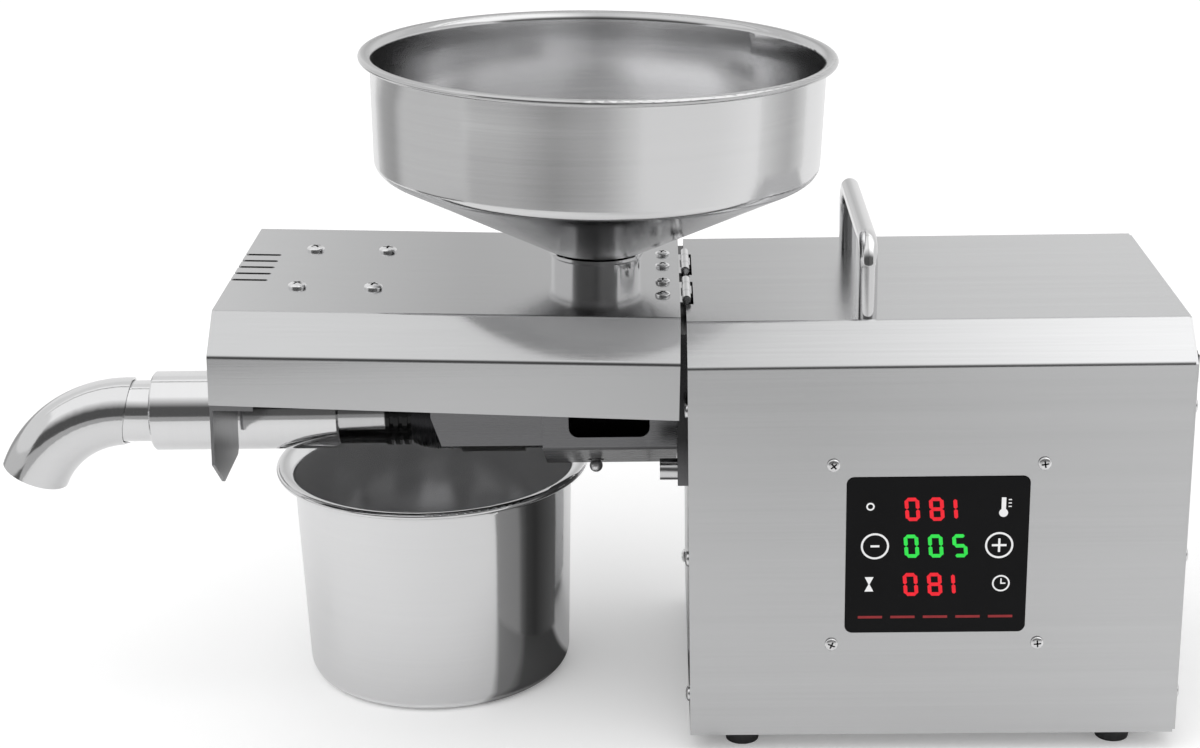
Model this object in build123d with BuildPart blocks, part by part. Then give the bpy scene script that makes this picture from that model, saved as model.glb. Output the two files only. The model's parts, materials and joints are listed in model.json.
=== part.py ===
"""Screw oil press: a motor casing with a hinged press head, a hopper, a cake outlet and an oil pot.

Millimetres, +Z up. The floor is Z = 0, the press axis runs along X in the plane Y = 0,
and X = 0 is halfway between the outlet elbow's tip and the switches on the right end.
"""
import os
from math import acos, asin, atan2, cos, degrees, pi, radians, sin, sqrt, tan

from build123d import *

os.makedirs("parts", exist_ok=True)

# Casing
casing_length = 190.0
casing_depth = 150.0
casing_height = 167.0
bevel_run = 15.0
bevel_drop = 13.7
sheet = 1.2
bend_radius = 2.5
seam_gap = 0.2
right_end_inset = 0.8
end_lip = 12.0
end_lip_top = 139.0
foot_height = 8.0
foot_radius = 8.0
foot_tip_radius = 6.5
foot_inset_x = 21.0
foot_inset_y = 14.0
foot_hole = 2.2
foot_recess = 4.0
foot_recess_depth = 4.0

# Fasteners
screw_hole_gap = 0.2
fit_gap = 0.03
casing_screw_head = 3.0
casing_screw_shank = 1.5
casing_screw_length = 5.0
casing_screw_inset = 5.5
casing_screw_heights = (15.7, 73.6, 134.7)
panel_screw_head = 2.6
panel_screw_shank = 1.4
panel_screw_length = 11.0
cover_screw_head = 3.7
cover_screw_shank = 2.0
cover_screw_length = 6.0
dome_ratio = 0.55
rim_ratio = 0.18

# Carrying handle
handle_x = 69.0
handle_pitch = 96.0
handle_shift = -6.0
handle_bar = 7.3
handle_rise = 32.0
handle_bend = 9.0
handle_screw_shank = 1.8
handle_screw_length = 12.0

# Display
panel_width = 70.0
panel_height = 65.0
panel_x = 95.3
panel_z = 76.5
panel_corner = 3.0
panel_thickness = 2.5
panel_proud = 0.5
panel_screw_pitch_x = 80.0
panel_screw_pitch_z = 74.7
panel_gap = 0.2
display_frame_depth = 5.0
display_frame_lip = 3.0
board_thickness = 1.6
digit_row_pitch = 15.6
digit_block_width = 30.0
digit_block_height = 13.0

# Press head, lengths along the axis from the casing's left face
axis_height = 112.6
flange_thickness = 4.0
flange_half_width = 63.0
flange_bottom = 101.4
flange_top = 163.0
flange_bolt_head = 4.2
flange_bolt_head_length = 6.9
flange_bolt_shank = 2.5
flange_bolt_socket = 2.5
flange_bolt_inset = 7.0
flange_bolt_rise = 4.4
chamber_length = 98.0
chamber_radius = 17.0
chamber_spigot_radius = 15.0
chamber_bore = 12.05
chamber_dome = 10.0
throat_radius = 21.0
throat_bore = 14.0
throat_base = 115.0
throat_top = 158.0
throat_flare = 5.0
cage_length = 11.0
cage_rib_count = 3
cage_rib_radius = 15.2
cage_groove_radius = 13.4
cage_rib_share = 0.55
neck_length = 18.7
neck_radius = 14.5
sleeve_length = 77.6
sleeve_radius = 16.35
sleeve_bore = 13.0
sleeve_edge = 0.8
pipe_show = 11.0
pipe_insert = 3.0
pipe_wall = 1.2
elbow_radius = 14.0
elbow_wall = 1.0
elbow_gap = 0.3
elbow_lead = 0.5
elbow_mitre = 10.0
elbow_bend = 45.0
elbow_angle = 66.0

# Trough under the chamber
trough_sheet = 1.5
trough_half_width = 35.0
trough_reach = 57.5
trough_fold = 106.4
trough_ridge = 88.6
trough_flat = 5.0
trough_wall_top = 140.0
window_near = 14.7
window_far = 47.0
window_bottom = 111.5
window_top = 126.0
window_corner = 4.0
guard_overlap = 7.5
guard_bottom = 107.8
guard_top = 138.0
guard_reach = 98.0
guard_slant = 4.0
guard_corner = 12.0
lock_pin_station = 37.0
lock_pin_radius = 2.0
lock_pin_ball = 2.7
lock_pin_hole = 3.4
lock_pin_depth = 4.0
lock_pin_show = 1.2

# Worm and its heat
worm_gap = 0.35
worm_root_back = 6.5
worm_root_front = 9.0
worm_pitch = 17.0
worm_flight = 3.2
worm_flight_tip = 2.1
worm_flight_sunk = 2.2
worm_shank = 8.0
shaft_hole_gap = 1.0
running_gap = 0.05
bush_length = 12.0
socket_flats = 9.0
socket_depth = 13.0
socket_gap = 0.15
heater_back = 66.0
heater_front = 92.0
heater_wall = 1.2
heater_ear = 6.0
probe_station = 96.0
probe_radius = 2.5
probe_depth = 3.0
probe_length = 26.0

# Drive inside the casing
gear_module = 1.5
pinion_teeth = 12
wheel_teeth = 36
tooth_backlash = 0.4
tooth_addendum = 0.75
tooth_dedendum = 1.25
pressure_angle = 20.0
flank_steps = 3
stage_two_start = 14.0
stage_two_width = 12.0
stage_one_start = 34.0
stage_one_width = 8.0
front_plate = 6.0
rear_plate = 4.0
rear_plate_start = 48.0
plate_top = 146.0
plate_half_width = 58.0
rear_plate_half_width = 45.0
spacer_radius = 5.0
spacer_half_pitch = 38.0
spacer_low = 18.0
spacer_high = 134.0
bearing_radius = 13.0
bush_radius = 8.0
output_rear_radius = 6.0
idler_radius = 5.0
motor_axis_height = 52.0
motor_radius = 37.0
motor_fan_gap = 27.0
motor_boss_radius = 12.0
motor_boss_length = 3.0
motor_shaft_radius = 4.0
motor_rib_count = 18
motor_rib_depth = 1.5
motor_rib_width = 4.0
motor_cap = 6.0
motor_bore = 28.0
motor_vent_count = 6
motor_vent_ring = 18.0
motor_vent_radius = 5.0
armature_gap = 0.8
armature_end_gap = 8.0
armature_slot_count = 12
armature_slot_width = 3.0
armature_slot_depth = 9.0
commutator_radius = 11.0
commutator_length = 12.0

# Control board on the back wall
control_length = 92.0
control_height = 96.0
control_end_gap = 26.0
control_z = 80.0
standoff_length = 9.0
standoff_radius = 3.0
standoff_inset = 6.0

# Right end: vent, fan, switches and inlet
fan_size = 80.0
fan_depth = 15.0
fan_corner = 4.0
fan_z = 72.0
fan_bore = 37.0
fan_hub = 14.0
fan_rotor_depth = 10.0
fan_blade_count = 7
fan_blade_width = 9.0
fan_blade_pitch = 38.0
fan_blade_thickness = 1.4
fan_tip_gap = 1.5
fan_strut = 5.0
fan_back = 3.0
fan_pin = 2.0
vent_slot = 3.0
vent_pitch = 7.0
vent_margin = 2.0
control_row_z = 147.0
switch_length = 21.0
switch_height = 15.0
switch_bezel = 1.6
switch_wall = 1.6
switch_body_depth = 12.0
switch_cavity_depth = 6.0
switch_first_y = -55.0
switch_pitch = 26.0
rocker_gap = 0.4
rocker_rise = 2.0
rocker_dip = 0.4
rocker_root = 4.0
rocker_root_half = 6.0
rocker_tilt = 8.0
rocker_pin = 1.0
rocker_pivot = -0.4
inlet_y = 45.0
inlet_length = 30.0
inlet_height = 22.0
inlet_rim = 2.0
inlet_depth = 16.0
inlet_wall = 2.5
inlet_corner = 5.0
inlet_pin_spacing = 7.0
inlet_pin_drop = 3.0
inlet_pin_height = 4.0
inlet_pin_width = 2.0
inlet_pin_length = 11.0

# Head cover, in its own leaning frame with the hinge axis at the origin
cover_tilt = 1.7
cover_reach = 181.2
cover_skirt = 36.2
skirt_taper = 3.0
cover_crown = 0.2
cover_back_gap = 2.6
hinge_x = 0.3
hinge_rise = 1.4
hinge_length = 28.0
hinge_centre = 20.4
hinge_shift = -1.0
hinge_knuckle = 1.7
hinge_pin_radius = 0.8
hinge_pin_head = 1.3
hinge_pin_head_length = 1.0
hinge_leaf = 1.2
hinge_leaf_width = 17.0
hinge_leaf_drop = 18.0
hinge_share = 0.3
hinge_split = 0.3
hinge_notch = 3.0
hinge_screw_x = 9.2
hinge_screw_pitch = 18.0
hinge_screw_head = 3.0
fork_reach = 72.0
fork_arch = 22.0
fork_corner_run = 19.0
fork_corner_rise = 14.0
fork_flare_run = 2.0
fork_flare_rise = 2.0
fork_tab_length = 16.5
fork_tab_drop = 2.6
slot_count = 5
slot_pitch = 9.2
slot_width = 2.4
slot_length = 16.0
cover_screw_x = 138.3
cover_screw_pitch_x = 30.0
cover_screw_pitch_y = 54.0
saddle_sheet = 1.5
saddle_half_width = 17.0
saddle_margin = 7.0
saddle_gap = 0.3

# Hopper
hopper_x = 36.2
hopper_wall = 1.0
spigot_radius = 15.0
spigot_gap = 0.3
spigot_drop = 3.0
collar_radius = 18.0
collar_bead = 0.8
stop_gap = 0.6
cone_start = 8.4
drum_start = 45.3
drum_low_radius = 88.4
drum_high_radius = 89.6
rim_height = 89.4
rim_radius = 94.0
rim_roll = 1.4
cone_bend = 1.5
drum_bend = 5.0
rim_bend = 2.5

# Oil pot
pot_x = 107.0
pot_y = 16.0
pot_height = 91.8
pot_base_radius = 55.6
pot_mouth_radius = 58.6
pot_rim_radius = 65.8
pot_wall = 1.0
pot_base_bend = 7.0
pot_rim_bend = 5.5
pot_rim_roll = 1.2

# Derived stations along the axis, measured left of the casing's left face
chamber_front = flange_thickness + chamber_length
cage_back = chamber_front + chamber_dome
neck_back = cage_back + cage_length
sleeve_back = neck_back + neck_length
sleeve_front = sleeve_back + sleeve_length
elbow_back = sleeve_front + pipe_show
bend_start = elbow_back + elbow_lead
elbow_tip = bend_start + (elbow_bend + elbow_radius) * sin(radians(elbow_angle))
pipe_radius = elbow_radius - elbow_wall - elbow_gap

# The frame: casing left face at x0, floor at zero
rocker_half = switch_length / 2 - switch_wall - rocker_gap
rocker_lift = rocker_rise * cos(radians(rocker_tilt)) + rocker_half * sin(radians(rocker_tilt))
switch_proud = rocker_pivot + rocker_lift
x0 = (elbow_tip - casing_length - sheet - switch_proud) / 2
x_right = x0 + casing_length
right_face = x_right + sheet
base_z = foot_height
top_z = base_z + casing_height
axis_z = base_z + axis_height
half_depth = casing_depth / 2
inner_depth = half_depth - sheet

press_axis = Axis((0, 0, axis_z), (1, 0, 0))

# The cover's frame: it leans back a little, with its saddle resting on the outlet sleeve
hinge_z = top_z + hinge_rise
lean = radians(cover_tilt)
cover_frame = Plane(
    origin=(x0 + hinge_x, 0, hinge_z), x_dir=(cos(lean), 0, -sin(lean)), z_dir=(sin(lean), 0, cos(lean))
)
hinge_ys = (hinge_shift - hinge_centre, hinge_shift + hinge_centre)


def cover_level(height):
    """A plane parallel to the cover's top, at a height above the hinge axis."""
    return cover_frame.offset(height)


def cover_slice(reach):
    """A plane across the cover, sketch axes Y and up, facing the hinge."""
    return Plane(cover_frame.from_local_coords((-reach, 0, 0)), x_dir=(0, 1, 0), z_dir=cover_frame.x_dir)


def cover_side(y):
    """A plane along the cover, sketch axes away from the head and up, facing the front."""
    return Plane(cover_frame.from_local_coords((0, y, 0)), x_dir=cover_frame.x_dir, z_dir=(0, -1, 0))


def cover_seat(x, y):
    """A screw's seat on the cover's top, facing up."""
    return Plane(cover_frame.from_local_coords((x, y, cover_crown)), x_dir=(0, 1, 0), z_dir=cover_frame.z_dir)


def in_cover(station, y, z):
    """A point given by its station and height, in the cover's frame."""
    return cover_frame.to_local_coords(Vector(x0 - station, y, z))


def sheet_path(half_width, top, bottom):
    """The outer line of a sheet folded over front, bevels, top and back."""
    return [
        (-half_width, bottom),
        (-half_width, top - bevel_drop),
        (-half_width + bevel_run, top),
        (half_width - bevel_run, top),
        (half_width, top - bevel_drop),
        (half_width, bottom),
    ]


def turn(plane, *points):
    """Turn a closed outline of radius and height points about the plane's own Z axis."""
    with BuildSketch(Plane(plane.origin, x_dir=plane.x_dir, z_dir=-plane.y_dir)) as profile:
        with BuildLine():
            Polyline(*points, close=True)
        make_face()
    revolve(profile.sketch, axis=Axis(plane.origin, plane.z_dir))


def station_plane(station):
    """A plane across the press axis, facing left, at a station left of the casing."""
    return Plane((x0 - station, 0, axis_z), x_dir=(0, -1, 0), z_dir=(-1, 0, 0))


def pan_screw(seat, head, shank, length):
    """A pan-head screw: the seat's origin is under the head, its Z points out of the head."""
    rise = head * dome_ratio
    rim = head * rim_ratio
    dome = (head**2 + (rise - rim) ** 2) / (2 * (rise - rim))
    half_way = asin(head / dome) / 2
    dome_middle = (dome * sin(half_way), rise - dome + dome * cos(half_way))
    with BuildSketch(Plane(seat.origin, x_dir=seat.x_dir, z_dir=-seat.y_dir)) as profile:
        with BuildLine():
            Polyline((0, rise), (0, -length), (shank, -length), (shank, 0), (head, 0), (head, rim))
            ThreePointArc((head, rim), dome_middle, (0, rise))
        make_face()
    revolve(profile.sketch, axis=Axis(seat.origin, seat.z_dir))


def save(builder, label):
    """Label a finished piece and write it."""
    builder.part.label = label
    export_step(builder.part, f"parts/{label}.step")


# Casing wrap: one folded sheet with lips for the end plates
end_screw_spots = [
    (side * (half_depth - casing_screw_inset), base_z + height)
    for side in (-1, 1)
    for height in casing_screw_heights
]
handle_ys = (handle_shift - handle_pitch / 2, handle_shift + handle_pitch / 2)
panel_centre = (x0 + panel_x, base_z + panel_z)
lip_bottom = base_z + 2 * sheet
lip_top = base_z + end_lip_top
hinge_notch_length = hinge_length + 2 * (hinge_split + hinge_pin_head_length + hinge_split)
with BuildPart() as casing_wrap:
    with BuildSketch(Plane.YZ.offset(x0)):
        with BuildLine():
            FilletPolyline(*sheet_path(half_depth, top_z, base_z), radius=bend_radius)
            offset(amount=sheet, side=Side.RIGHT)
        make_face()
    extrude(amount=casing_length)
    for lip_x in (x0 + sheet, x_right - sheet):
        with BuildSketch(Plane.YZ.offset(lip_x)):
            for side in (-1, 1):
                with Locations((side * (inner_depth - end_lip / 2 + sheet / 2), (lip_bottom + lip_top) / 2)):
                    Rectangle(end_lip + sheet, lip_top - lip_bottom)
        extrude(amount=sheet)
    with BuildSketch(Plane.YZ.offset(x0)):
        with Locations(*end_screw_spots):
            Circle(casing_screw_shank + screw_hole_gap)
    extrude(amount=casing_length, mode=Mode.SUBTRACT)
    with BuildSketch(Plane.XZ.offset(half_depth - 2 * sheet)):
        with Locations(panel_centre):
            RectangleRounded(panel_width, panel_height, panel_corner)
            with GridLocations(panel_screw_pitch_x, panel_screw_pitch_z, 2, 2):
                Circle(panel_screw_shank + screw_hole_gap)
    extrude(amount=3 * sheet, mode=Mode.SUBTRACT)
    with BuildSketch(Plane.XY.offset(top_z - 2 * sheet)):
        with Locations(*[(x0 + handle_x, y) for y in handle_ys]):
            Circle(handle_screw_shank + screw_hole_gap)
        with Locations(*[(x0 + hinge_notch / 2, y) for y in hinge_ys]):
            Rectangle(hinge_notch, hinge_notch_length)
    extrude(amount=3 * sheet, mode=Mode.SUBTRACT)
save(casing_wrap, "casing_wrap")

# End plates: the left one flush inside the wrap's edges, the right one over them
end_half = inner_depth - seam_gap
end_top = top_z - sheet - seam_gap
end_bottom = base_z + sheet
flange_bolt_y = flange_half_width - flange_bolt_inset
flange_bolt_low = base_z + flange_bottom + flange_bolt_rise
flange_bolt_high = base_z + plate_top - flange_bolt_rise
flange_bolt_zs = (flange_bolt_low, flange_bolt_high)
flange_bolt_spots = [(side * flange_bolt_y, z) for side in (-1, 1) for z in flange_bolt_zs]
with BuildPart() as casing_left_end:
    with BuildSketch(Plane.YZ.offset(x0)):
        with BuildLine():
            Polyline(*sheet_path(end_half, end_top, end_bottom), close=True)
        make_face()
        with Locations(*end_screw_spots):
            Circle(casing_screw_shank + screw_hole_gap, mode=Mode.SUBTRACT)
        with Locations(*flange_bolt_spots):
            Circle(flange_bolt_shank + screw_hole_gap, mode=Mode.SUBTRACT)
        with Locations((0, axis_z)):
            Circle(worm_shank + shaft_hole_gap, mode=Mode.SUBTRACT)
    extrude(amount=sheet)
save(casing_left_end, "casing_left_end")

switch_ys = (switch_first_y, switch_first_y + switch_pitch)
row_z = base_z + control_row_z
fan_centre_z = base_z + fan_z
right_half = half_depth - right_end_inset
right_top = top_z - right_end_inset
right_bottom = base_z + right_end_inset
vent_radius = fan_bore - vent_margin
vent_rows = int(vent_radius / vent_pitch)
with BuildPart() as casing_right_end:
    with BuildSketch(Plane.YZ.offset(x_right)):
        with BuildLine():
            Polyline(*sheet_path(right_half, right_top, right_bottom), close=True)
        make_face()
        with Locations(*end_screw_spots):
            Circle(casing_screw_shank + screw_hole_gap, mode=Mode.SUBTRACT)
        with Locations(*[(y, row_z) for y in switch_ys]):
            Rectangle(switch_length - switch_wall, switch_height - switch_wall, mode=Mode.SUBTRACT)
        with Locations((inlet_y, row_z)):
            Rectangle(inlet_length - inlet_wall, inlet_height - inlet_wall, mode=Mode.SUBTRACT)
        for row in range(-vent_rows, vent_rows + 1):
            chord = 2 * sqrt(vent_radius**2 - (row * vent_pitch) ** 2)
            with Locations((0, fan_centre_z + row * vent_pitch)):
                SlotOverall(max(chord, 2 * vent_pitch), vent_slot, mode=Mode.SUBTRACT)
    extrude(amount=sheet)
save(casing_right_end, "casing_right_end")

with BuildPart() as casing_screws:
    for y, z in end_screw_spots:
        left_seat = Plane((x0, y, z), x_dir=(0, 1, 0), z_dir=(-1, 0, 0))
        right_seat = Plane((right_face, y, z), x_dir=(0, 1, 0), z_dir=(1, 0, 0))
        pan_screw(left_seat, casing_screw_head, casing_screw_shank, casing_screw_length)
        pan_screw(right_seat, casing_screw_head, casing_screw_shank, casing_screw_length)
save(casing_screws, "casing_screws")

# Base plate on four rubber feet
foot_spots = [
    (x, side * (half_depth - foot_inset_y))
    for x in (x0 + foot_inset_x, x_right - foot_inset_x)
    for side in (-1, 1)
]
with BuildPart() as base_plate:
    with BuildSketch(Plane.XY.offset(base_z)):
        with Locations((x0 + casing_length / 2, 0)):
            Rectangle(casing_length, 2 * (inner_depth - seam_gap))
        with Locations(*foot_spots):
            Circle(foot_hole, mode=Mode.SUBTRACT)
    extrude(amount=sheet)
save(base_plate, "base_plate")

with BuildPart() as rubber_feet:
    for x, y in foot_spots:
        turn(
            Plane((x, y, 0)),
            (foot_recess, 0),
            (foot_tip_radius, 0),
            (foot_radius, foot_height),
            (foot_hole, foot_height),
            (foot_hole, foot_recess_depth),
            (foot_recess, foot_recess_depth),
        )
save(rubber_feet, "rubber_feet")

with BuildPart() as foot_screws:
    for x, y in foot_spots:
        foot_seat = Plane((x, y, foot_recess_depth), x_dir=(1, 0, 0), z_dir=(0, 0, -1))
        pan_screw(foot_seat, foot_recess - 2 * screw_hole_gap, foot_hole - screw_hole_gap, foot_height)
save(foot_screws, "foot_screws")

# Carrying handle: a bent round bar, screwed from inside the casing
with BuildPart() as carry_handle:
    with BuildLine(Plane.YZ.offset(x0 + handle_x)):
        FilletPolyline(
            (handle_ys[0], top_z),
            (handle_ys[0], top_z + handle_rise - handle_bar / 2),
            (handle_ys[1], top_z + handle_rise - handle_bar / 2),
            (handle_ys[1], top_z),
            radius=handle_bend,
        )
    with BuildSketch(Plane((x0 + handle_x, handle_ys[0], top_z))):
        Circle(handle_bar / 2)
    sweep()
    with BuildSketch(Plane.XY.offset(top_z)):
        with Locations(*[(x0 + handle_x, y) for y in handle_ys]):
            Circle(handle_screw_shank + screw_hole_gap)
    extrude(amount=handle_screw_length, mode=Mode.SUBTRACT)
save(carry_handle, "carry_handle")

with BuildPart() as handle_screws:
    for y in handle_ys:
        handle_seat = Plane((x0 + handle_x, y, top_z - sheet), x_dir=(1, 0, 0), z_dir=(0, 0, -1))
        pan_screw(handle_seat, handle_bar / 2, handle_screw_shank, handle_screw_length)
save(handle_screws, "handle_screws")

# Display: glossy panel in the front sheet, its frame, digits and board behind it
panel_back_y = -half_depth - panel_proud + panel_thickness
frame_front_y = -inner_depth
board_y = frame_front_y + display_frame_depth
frame_width = panel_screw_pitch_x + 3 * panel_screw_head
frame_height = panel_screw_pitch_z + 3 * panel_screw_head
with BuildPart() as display_panel:
    with BuildSketch(Plane.XZ.offset(-panel_back_y)):
        with Locations(panel_centre):
            RectangleRounded(
                panel_width - 2 * panel_gap, panel_height - 2 * panel_gap, panel_corner - panel_gap
            )
    extrude(amount=panel_thickness)
save(display_panel, "display_panel")

with BuildPart() as display_frame:
    with BuildSketch(Plane.XZ.offset(-board_y)):
        with Locations(panel_centre):
            Rectangle(frame_width, frame_height)
            with GridLocations(panel_screw_pitch_x, panel_screw_pitch_z, 2, 2):
                Circle(panel_screw_shank + screw_hole_gap, mode=Mode.SUBTRACT)
            Rectangle(
                panel_width - 2 * display_frame_lip,
                panel_height - 2 * display_frame_lip,
                mode=Mode.SUBTRACT,
            )
    extrude(amount=display_frame_depth)
    with BuildSketch(Plane.XZ.offset(-panel_back_y)):
        with Locations(panel_centre):
            RectangleRounded(panel_width, panel_height, panel_corner)
    extrude(amount=panel_thickness, mode=Mode.SUBTRACT)
save(display_frame, "display_frame")

with BuildPart() as display_board:
    with BuildSketch(Plane.XZ.offset(-board_y - board_thickness)):
        with Locations(panel_centre):
            Rectangle(frame_width, frame_height)
            with GridLocations(panel_screw_pitch_x, panel_screw_pitch_z, 2, 2):
                Circle(panel_screw_shank + screw_hole_gap, mode=Mode.SUBTRACT)
    extrude(amount=board_thickness)
save(display_board, "display_board")

with BuildPart() as led_digits:
    with BuildSketch(Plane.XZ.offset(-board_y)):
        with Locations(panel_centre):
            with GridLocations(1, digit_row_pitch, 1, 3):
                Rectangle(digit_block_width, digit_block_height)
    extrude(amount=board_y - panel_back_y)
save(led_digits, "led_digits")

with BuildPart() as panel_screws:
    for dx in (-1, 1):
        for dz in (-1, 1):
            panel_seat = Plane(
                (
                    panel_centre[0] + dx * panel_screw_pitch_x / 2,
                    -half_depth,
                    panel_centre[1] + dz * panel_screw_pitch_z / 2,
                ),
                x_dir=(1, 0, 0),
                z_dir=(0, -1, 0),
            )
            pan_screw(panel_seat, panel_screw_head, panel_screw_shank, panel_screw_length)
save(panel_screws, "panel_screws")

# Control board on standoffs from the back wall
control_centre = (x_right - control_end_gap - control_length / 2, base_z + control_z)
control_y = inner_depth - standoff_length
standoff_pitch_x = control_length - 2 * standoff_inset
standoff_pitch_z = control_height - 2 * standoff_inset
with BuildPart() as control_board:
    with BuildSketch(Plane.XZ.offset(-control_y)):
        with Locations(control_centre):
            Rectangle(control_length, control_height)
    extrude(amount=board_thickness)
    with BuildSketch(Plane.XZ.offset(-control_y + board_thickness)):
        with Locations((control_centre[0] - control_length / 4, control_centre[1] + control_height / 4)):
            Rectangle(control_length / 3, control_height / 4)
        with Locations((control_centre[0] + control_length / 5, control_centre[1] - control_height / 6)):
            Rectangle(control_length / 4, control_height / 3)
    extrude(amount=standoff_length)
save(control_board, "control_board")

with BuildPart() as board_standoffs:
    with BuildSketch(Plane.XZ.offset(-inner_depth)):
        with Locations(control_centre):
            with GridLocations(standoff_pitch_x, standoff_pitch_z, 2, 2):
                Circle(standoff_radius)
    extrude(amount=standoff_length)
save(board_standoffs, "board_standoffs")

# Gear train: motor pinion to idler wheel, idler pinion to output wheel
gear_centres = gear_module * (pinion_teeth + wheel_teeth) / 2
motor_z = base_z + motor_axis_height
idler_z = (axis_z + motor_z) / 2
idler_y = sqrt(gear_centres**2 - ((axis_z - motor_z) / 2) ** 2)
front_plate_x = x0 + sheet
gear_start = x0 + stage_two_start
wheel_start = x0 + stage_one_start
rear_plate_x = x0 + rear_plate_start
rear_plate_end = rear_plate_x + rear_plate
fan_front = x_right - fan_depth
motor_end = fan_front - motor_fan_gap
to_idler = degrees(atan2(idler_z - axis_z, idler_y))
to_motor = degrees(atan2(motor_z - idler_z, -idler_y))


def gear_outline(teeth, tooth_angle, bore):
    """A spur gear's face with involute flanks, one tooth at tooth_angle, and a bore."""
    pitch_radius = gear_module * teeth / 2
    base_radius = pitch_radius * cos(radians(pressure_angle))
    root_radius = pitch_radius - tooth_dedendum * gear_module
    tip_radius = pitch_radius + tooth_addendum * gear_module
    flank_start = max(base_radius, root_radius)
    base_half = (pi * gear_module - tooth_backlash) / (4 * pitch_radius)
    base_half += tan(radians(pressure_angle)) - radians(pressure_angle)
    flank = [(root_radius, base_half)]
    for step in range(flank_steps + 1):
        radius = flank_start + (tip_radius - flank_start) * step / flank_steps
        roll = acos(base_radius / radius)
        flank.append((radius, base_half - tan(roll) + roll))
    points = []
    for tooth in range(teeth):
        middle = radians(tooth_angle) + 2 * pi * tooth / teeth
        for radius, half in flank:
            points.append((radius * cos(middle - half), radius * sin(middle - half)))
        for radius, half in reversed(flank):
            points.append((radius * cos(middle + half), radius * sin(middle + half)))
    with BuildLine() as teeth_line:
        Polyline(*points, close=True)
    make_face(teeth_line.edges())
    Circle(bore, mode=Mode.SUBTRACT)


with BuildPart() as output_gear:
    with BuildSketch(Plane((gear_start, 0, axis_z), x_dir=(0, 1, 0), z_dir=(1, 0, 0))):
        gear_outline(wheel_teeth, to_idler, worm_shank + fit_gap)
    extrude(amount=stage_two_width)
save(output_gear, "output_gear")

half_pinion_step = 180.0 / pinion_teeth
with BuildPart() as idler_pinion:
    with BuildSketch(Plane((gear_start, idler_y, idler_z), x_dir=(0, 1, 0), z_dir=(1, 0, 0))):
        gear_outline(pinion_teeth, to_idler + 180 + half_pinion_step, idler_radius + fit_gap)
    extrude(amount=stage_two_width)
save(idler_pinion, "idler_pinion")

with BuildPart() as idler_gear:
    with BuildSketch(Plane((wheel_start, idler_y, idler_z), x_dir=(0, 1, 0), z_dir=(1, 0, 0))):
        gear_outline(wheel_teeth, to_motor, idler_radius + fit_gap)
    extrude(amount=stage_one_width)
save(idler_gear, "idler_gear")

with BuildPart() as motor_pinion:
    with BuildSketch(Plane((wheel_start, 0, motor_z), x_dir=(0, 1, 0), z_dir=(1, 0, 0))):
        gear_outline(pinion_teeth, to_motor + 180 + half_pinion_step, motor_shaft_radius + fit_gap)
    extrude(amount=stage_one_width)
save(motor_pinion, "motor_pinion")

with BuildPart() as idler_shaft:
    with BuildSketch(Plane.YZ.offset(front_plate_x)):
        with Locations((idler_y, idler_z)):
            Circle(idler_radius)
    extrude(amount=rear_plate_end - front_plate_x)
save(idler_shaft, "idler_shaft")

with BuildPart() as motor_shaft:
    with BuildSketch(Plane.YZ.offset(wheel_start)):
        with Locations((0, motor_z)):
            Circle(motor_shaft_radius)
    extrude(amount=motor_end - wheel_start)
save(motor_shaft, "motor_shaft")

# Output shaft: a hexagon at its front end turns the worm
shaft_front = x0 + sheet + seam_gap
with BuildPart() as output_shaft:
    with BuildSketch(Plane.YZ.offset(shaft_front)):
        with Locations((0, axis_z)):
            Circle(worm_shank)
    extrude(amount=gear_start + stage_two_width - shaft_front)
    with BuildSketch(Plane.YZ.offset(gear_start + stage_two_width)):
        with Locations((0, axis_z)):
            Circle(output_rear_radius)
    extrude(amount=rear_plate_end - gear_start - stage_two_width)
    with BuildSketch(Plane.YZ.offset(shaft_front)):
        with Locations((0, axis_z)):
            RegularPolygon(socket_flats / 2 - socket_gap, 6, major_radius=False)
    extrude(amount=-(socket_depth - socket_gap))
save(output_shaft, "output_shaft")

# Gearbox plates, spacers and bearings
spacer_spots = [(side * spacer_half_pitch, base_z + z) for side in (-1, 1) for z in (spacer_low, spacer_high)]
plate_base = base_z + sheet
with BuildPart() as gearbox_front_plate:
    with BuildSketch(Plane.YZ.offset(front_plate_x)):
        with Locations((0, (plate_base + base_z + plate_top) / 2)):
            Rectangle(2 * plate_half_width, base_z + plate_top - plate_base)
        with Locations((0, axis_z)):
            Circle(bearing_radius + fit_gap, mode=Mode.SUBTRACT)
        with Locations((idler_y, idler_z)):
            Circle(bush_radius + fit_gap, mode=Mode.SUBTRACT)
        with Locations(*flange_bolt_spots):
            Circle(flange_bolt_shank + fit_gap, mode=Mode.SUBTRACT)
    extrude(amount=front_plate)
save(gearbox_front_plate, "gearbox_front_plate")

with BuildPart() as gearbox_rear_plate:
    with BuildSketch(Plane.YZ.offset(rear_plate_x)):
        with Locations((0, (plate_base + base_z + plate_top) / 2)):
            Rectangle(2 * rear_plate_half_width, base_z + plate_top - plate_base)
        with Locations((0, axis_z)):
            Circle(bearing_radius + fit_gap, mode=Mode.SUBTRACT)
        with Locations((idler_y, idler_z)):
            Circle(bush_radius + fit_gap, mode=Mode.SUBTRACT)
        with Locations((0, motor_z)):
            Circle(motor_boss_radius + fit_gap, mode=Mode.SUBTRACT)
    extrude(amount=rear_plate)
save(gearbox_rear_plate, "gearbox_rear_plate")

with BuildPart() as gearbox_spacers:
    with BuildSketch(Plane.YZ.offset(front_plate_x + front_plate)):
        with Locations(*spacer_spots):
            Circle(spacer_radius)
    extrude(amount=rear_plate_x - front_plate_x - front_plate)
save(gearbox_spacers, "gearbox_spacers")

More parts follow.
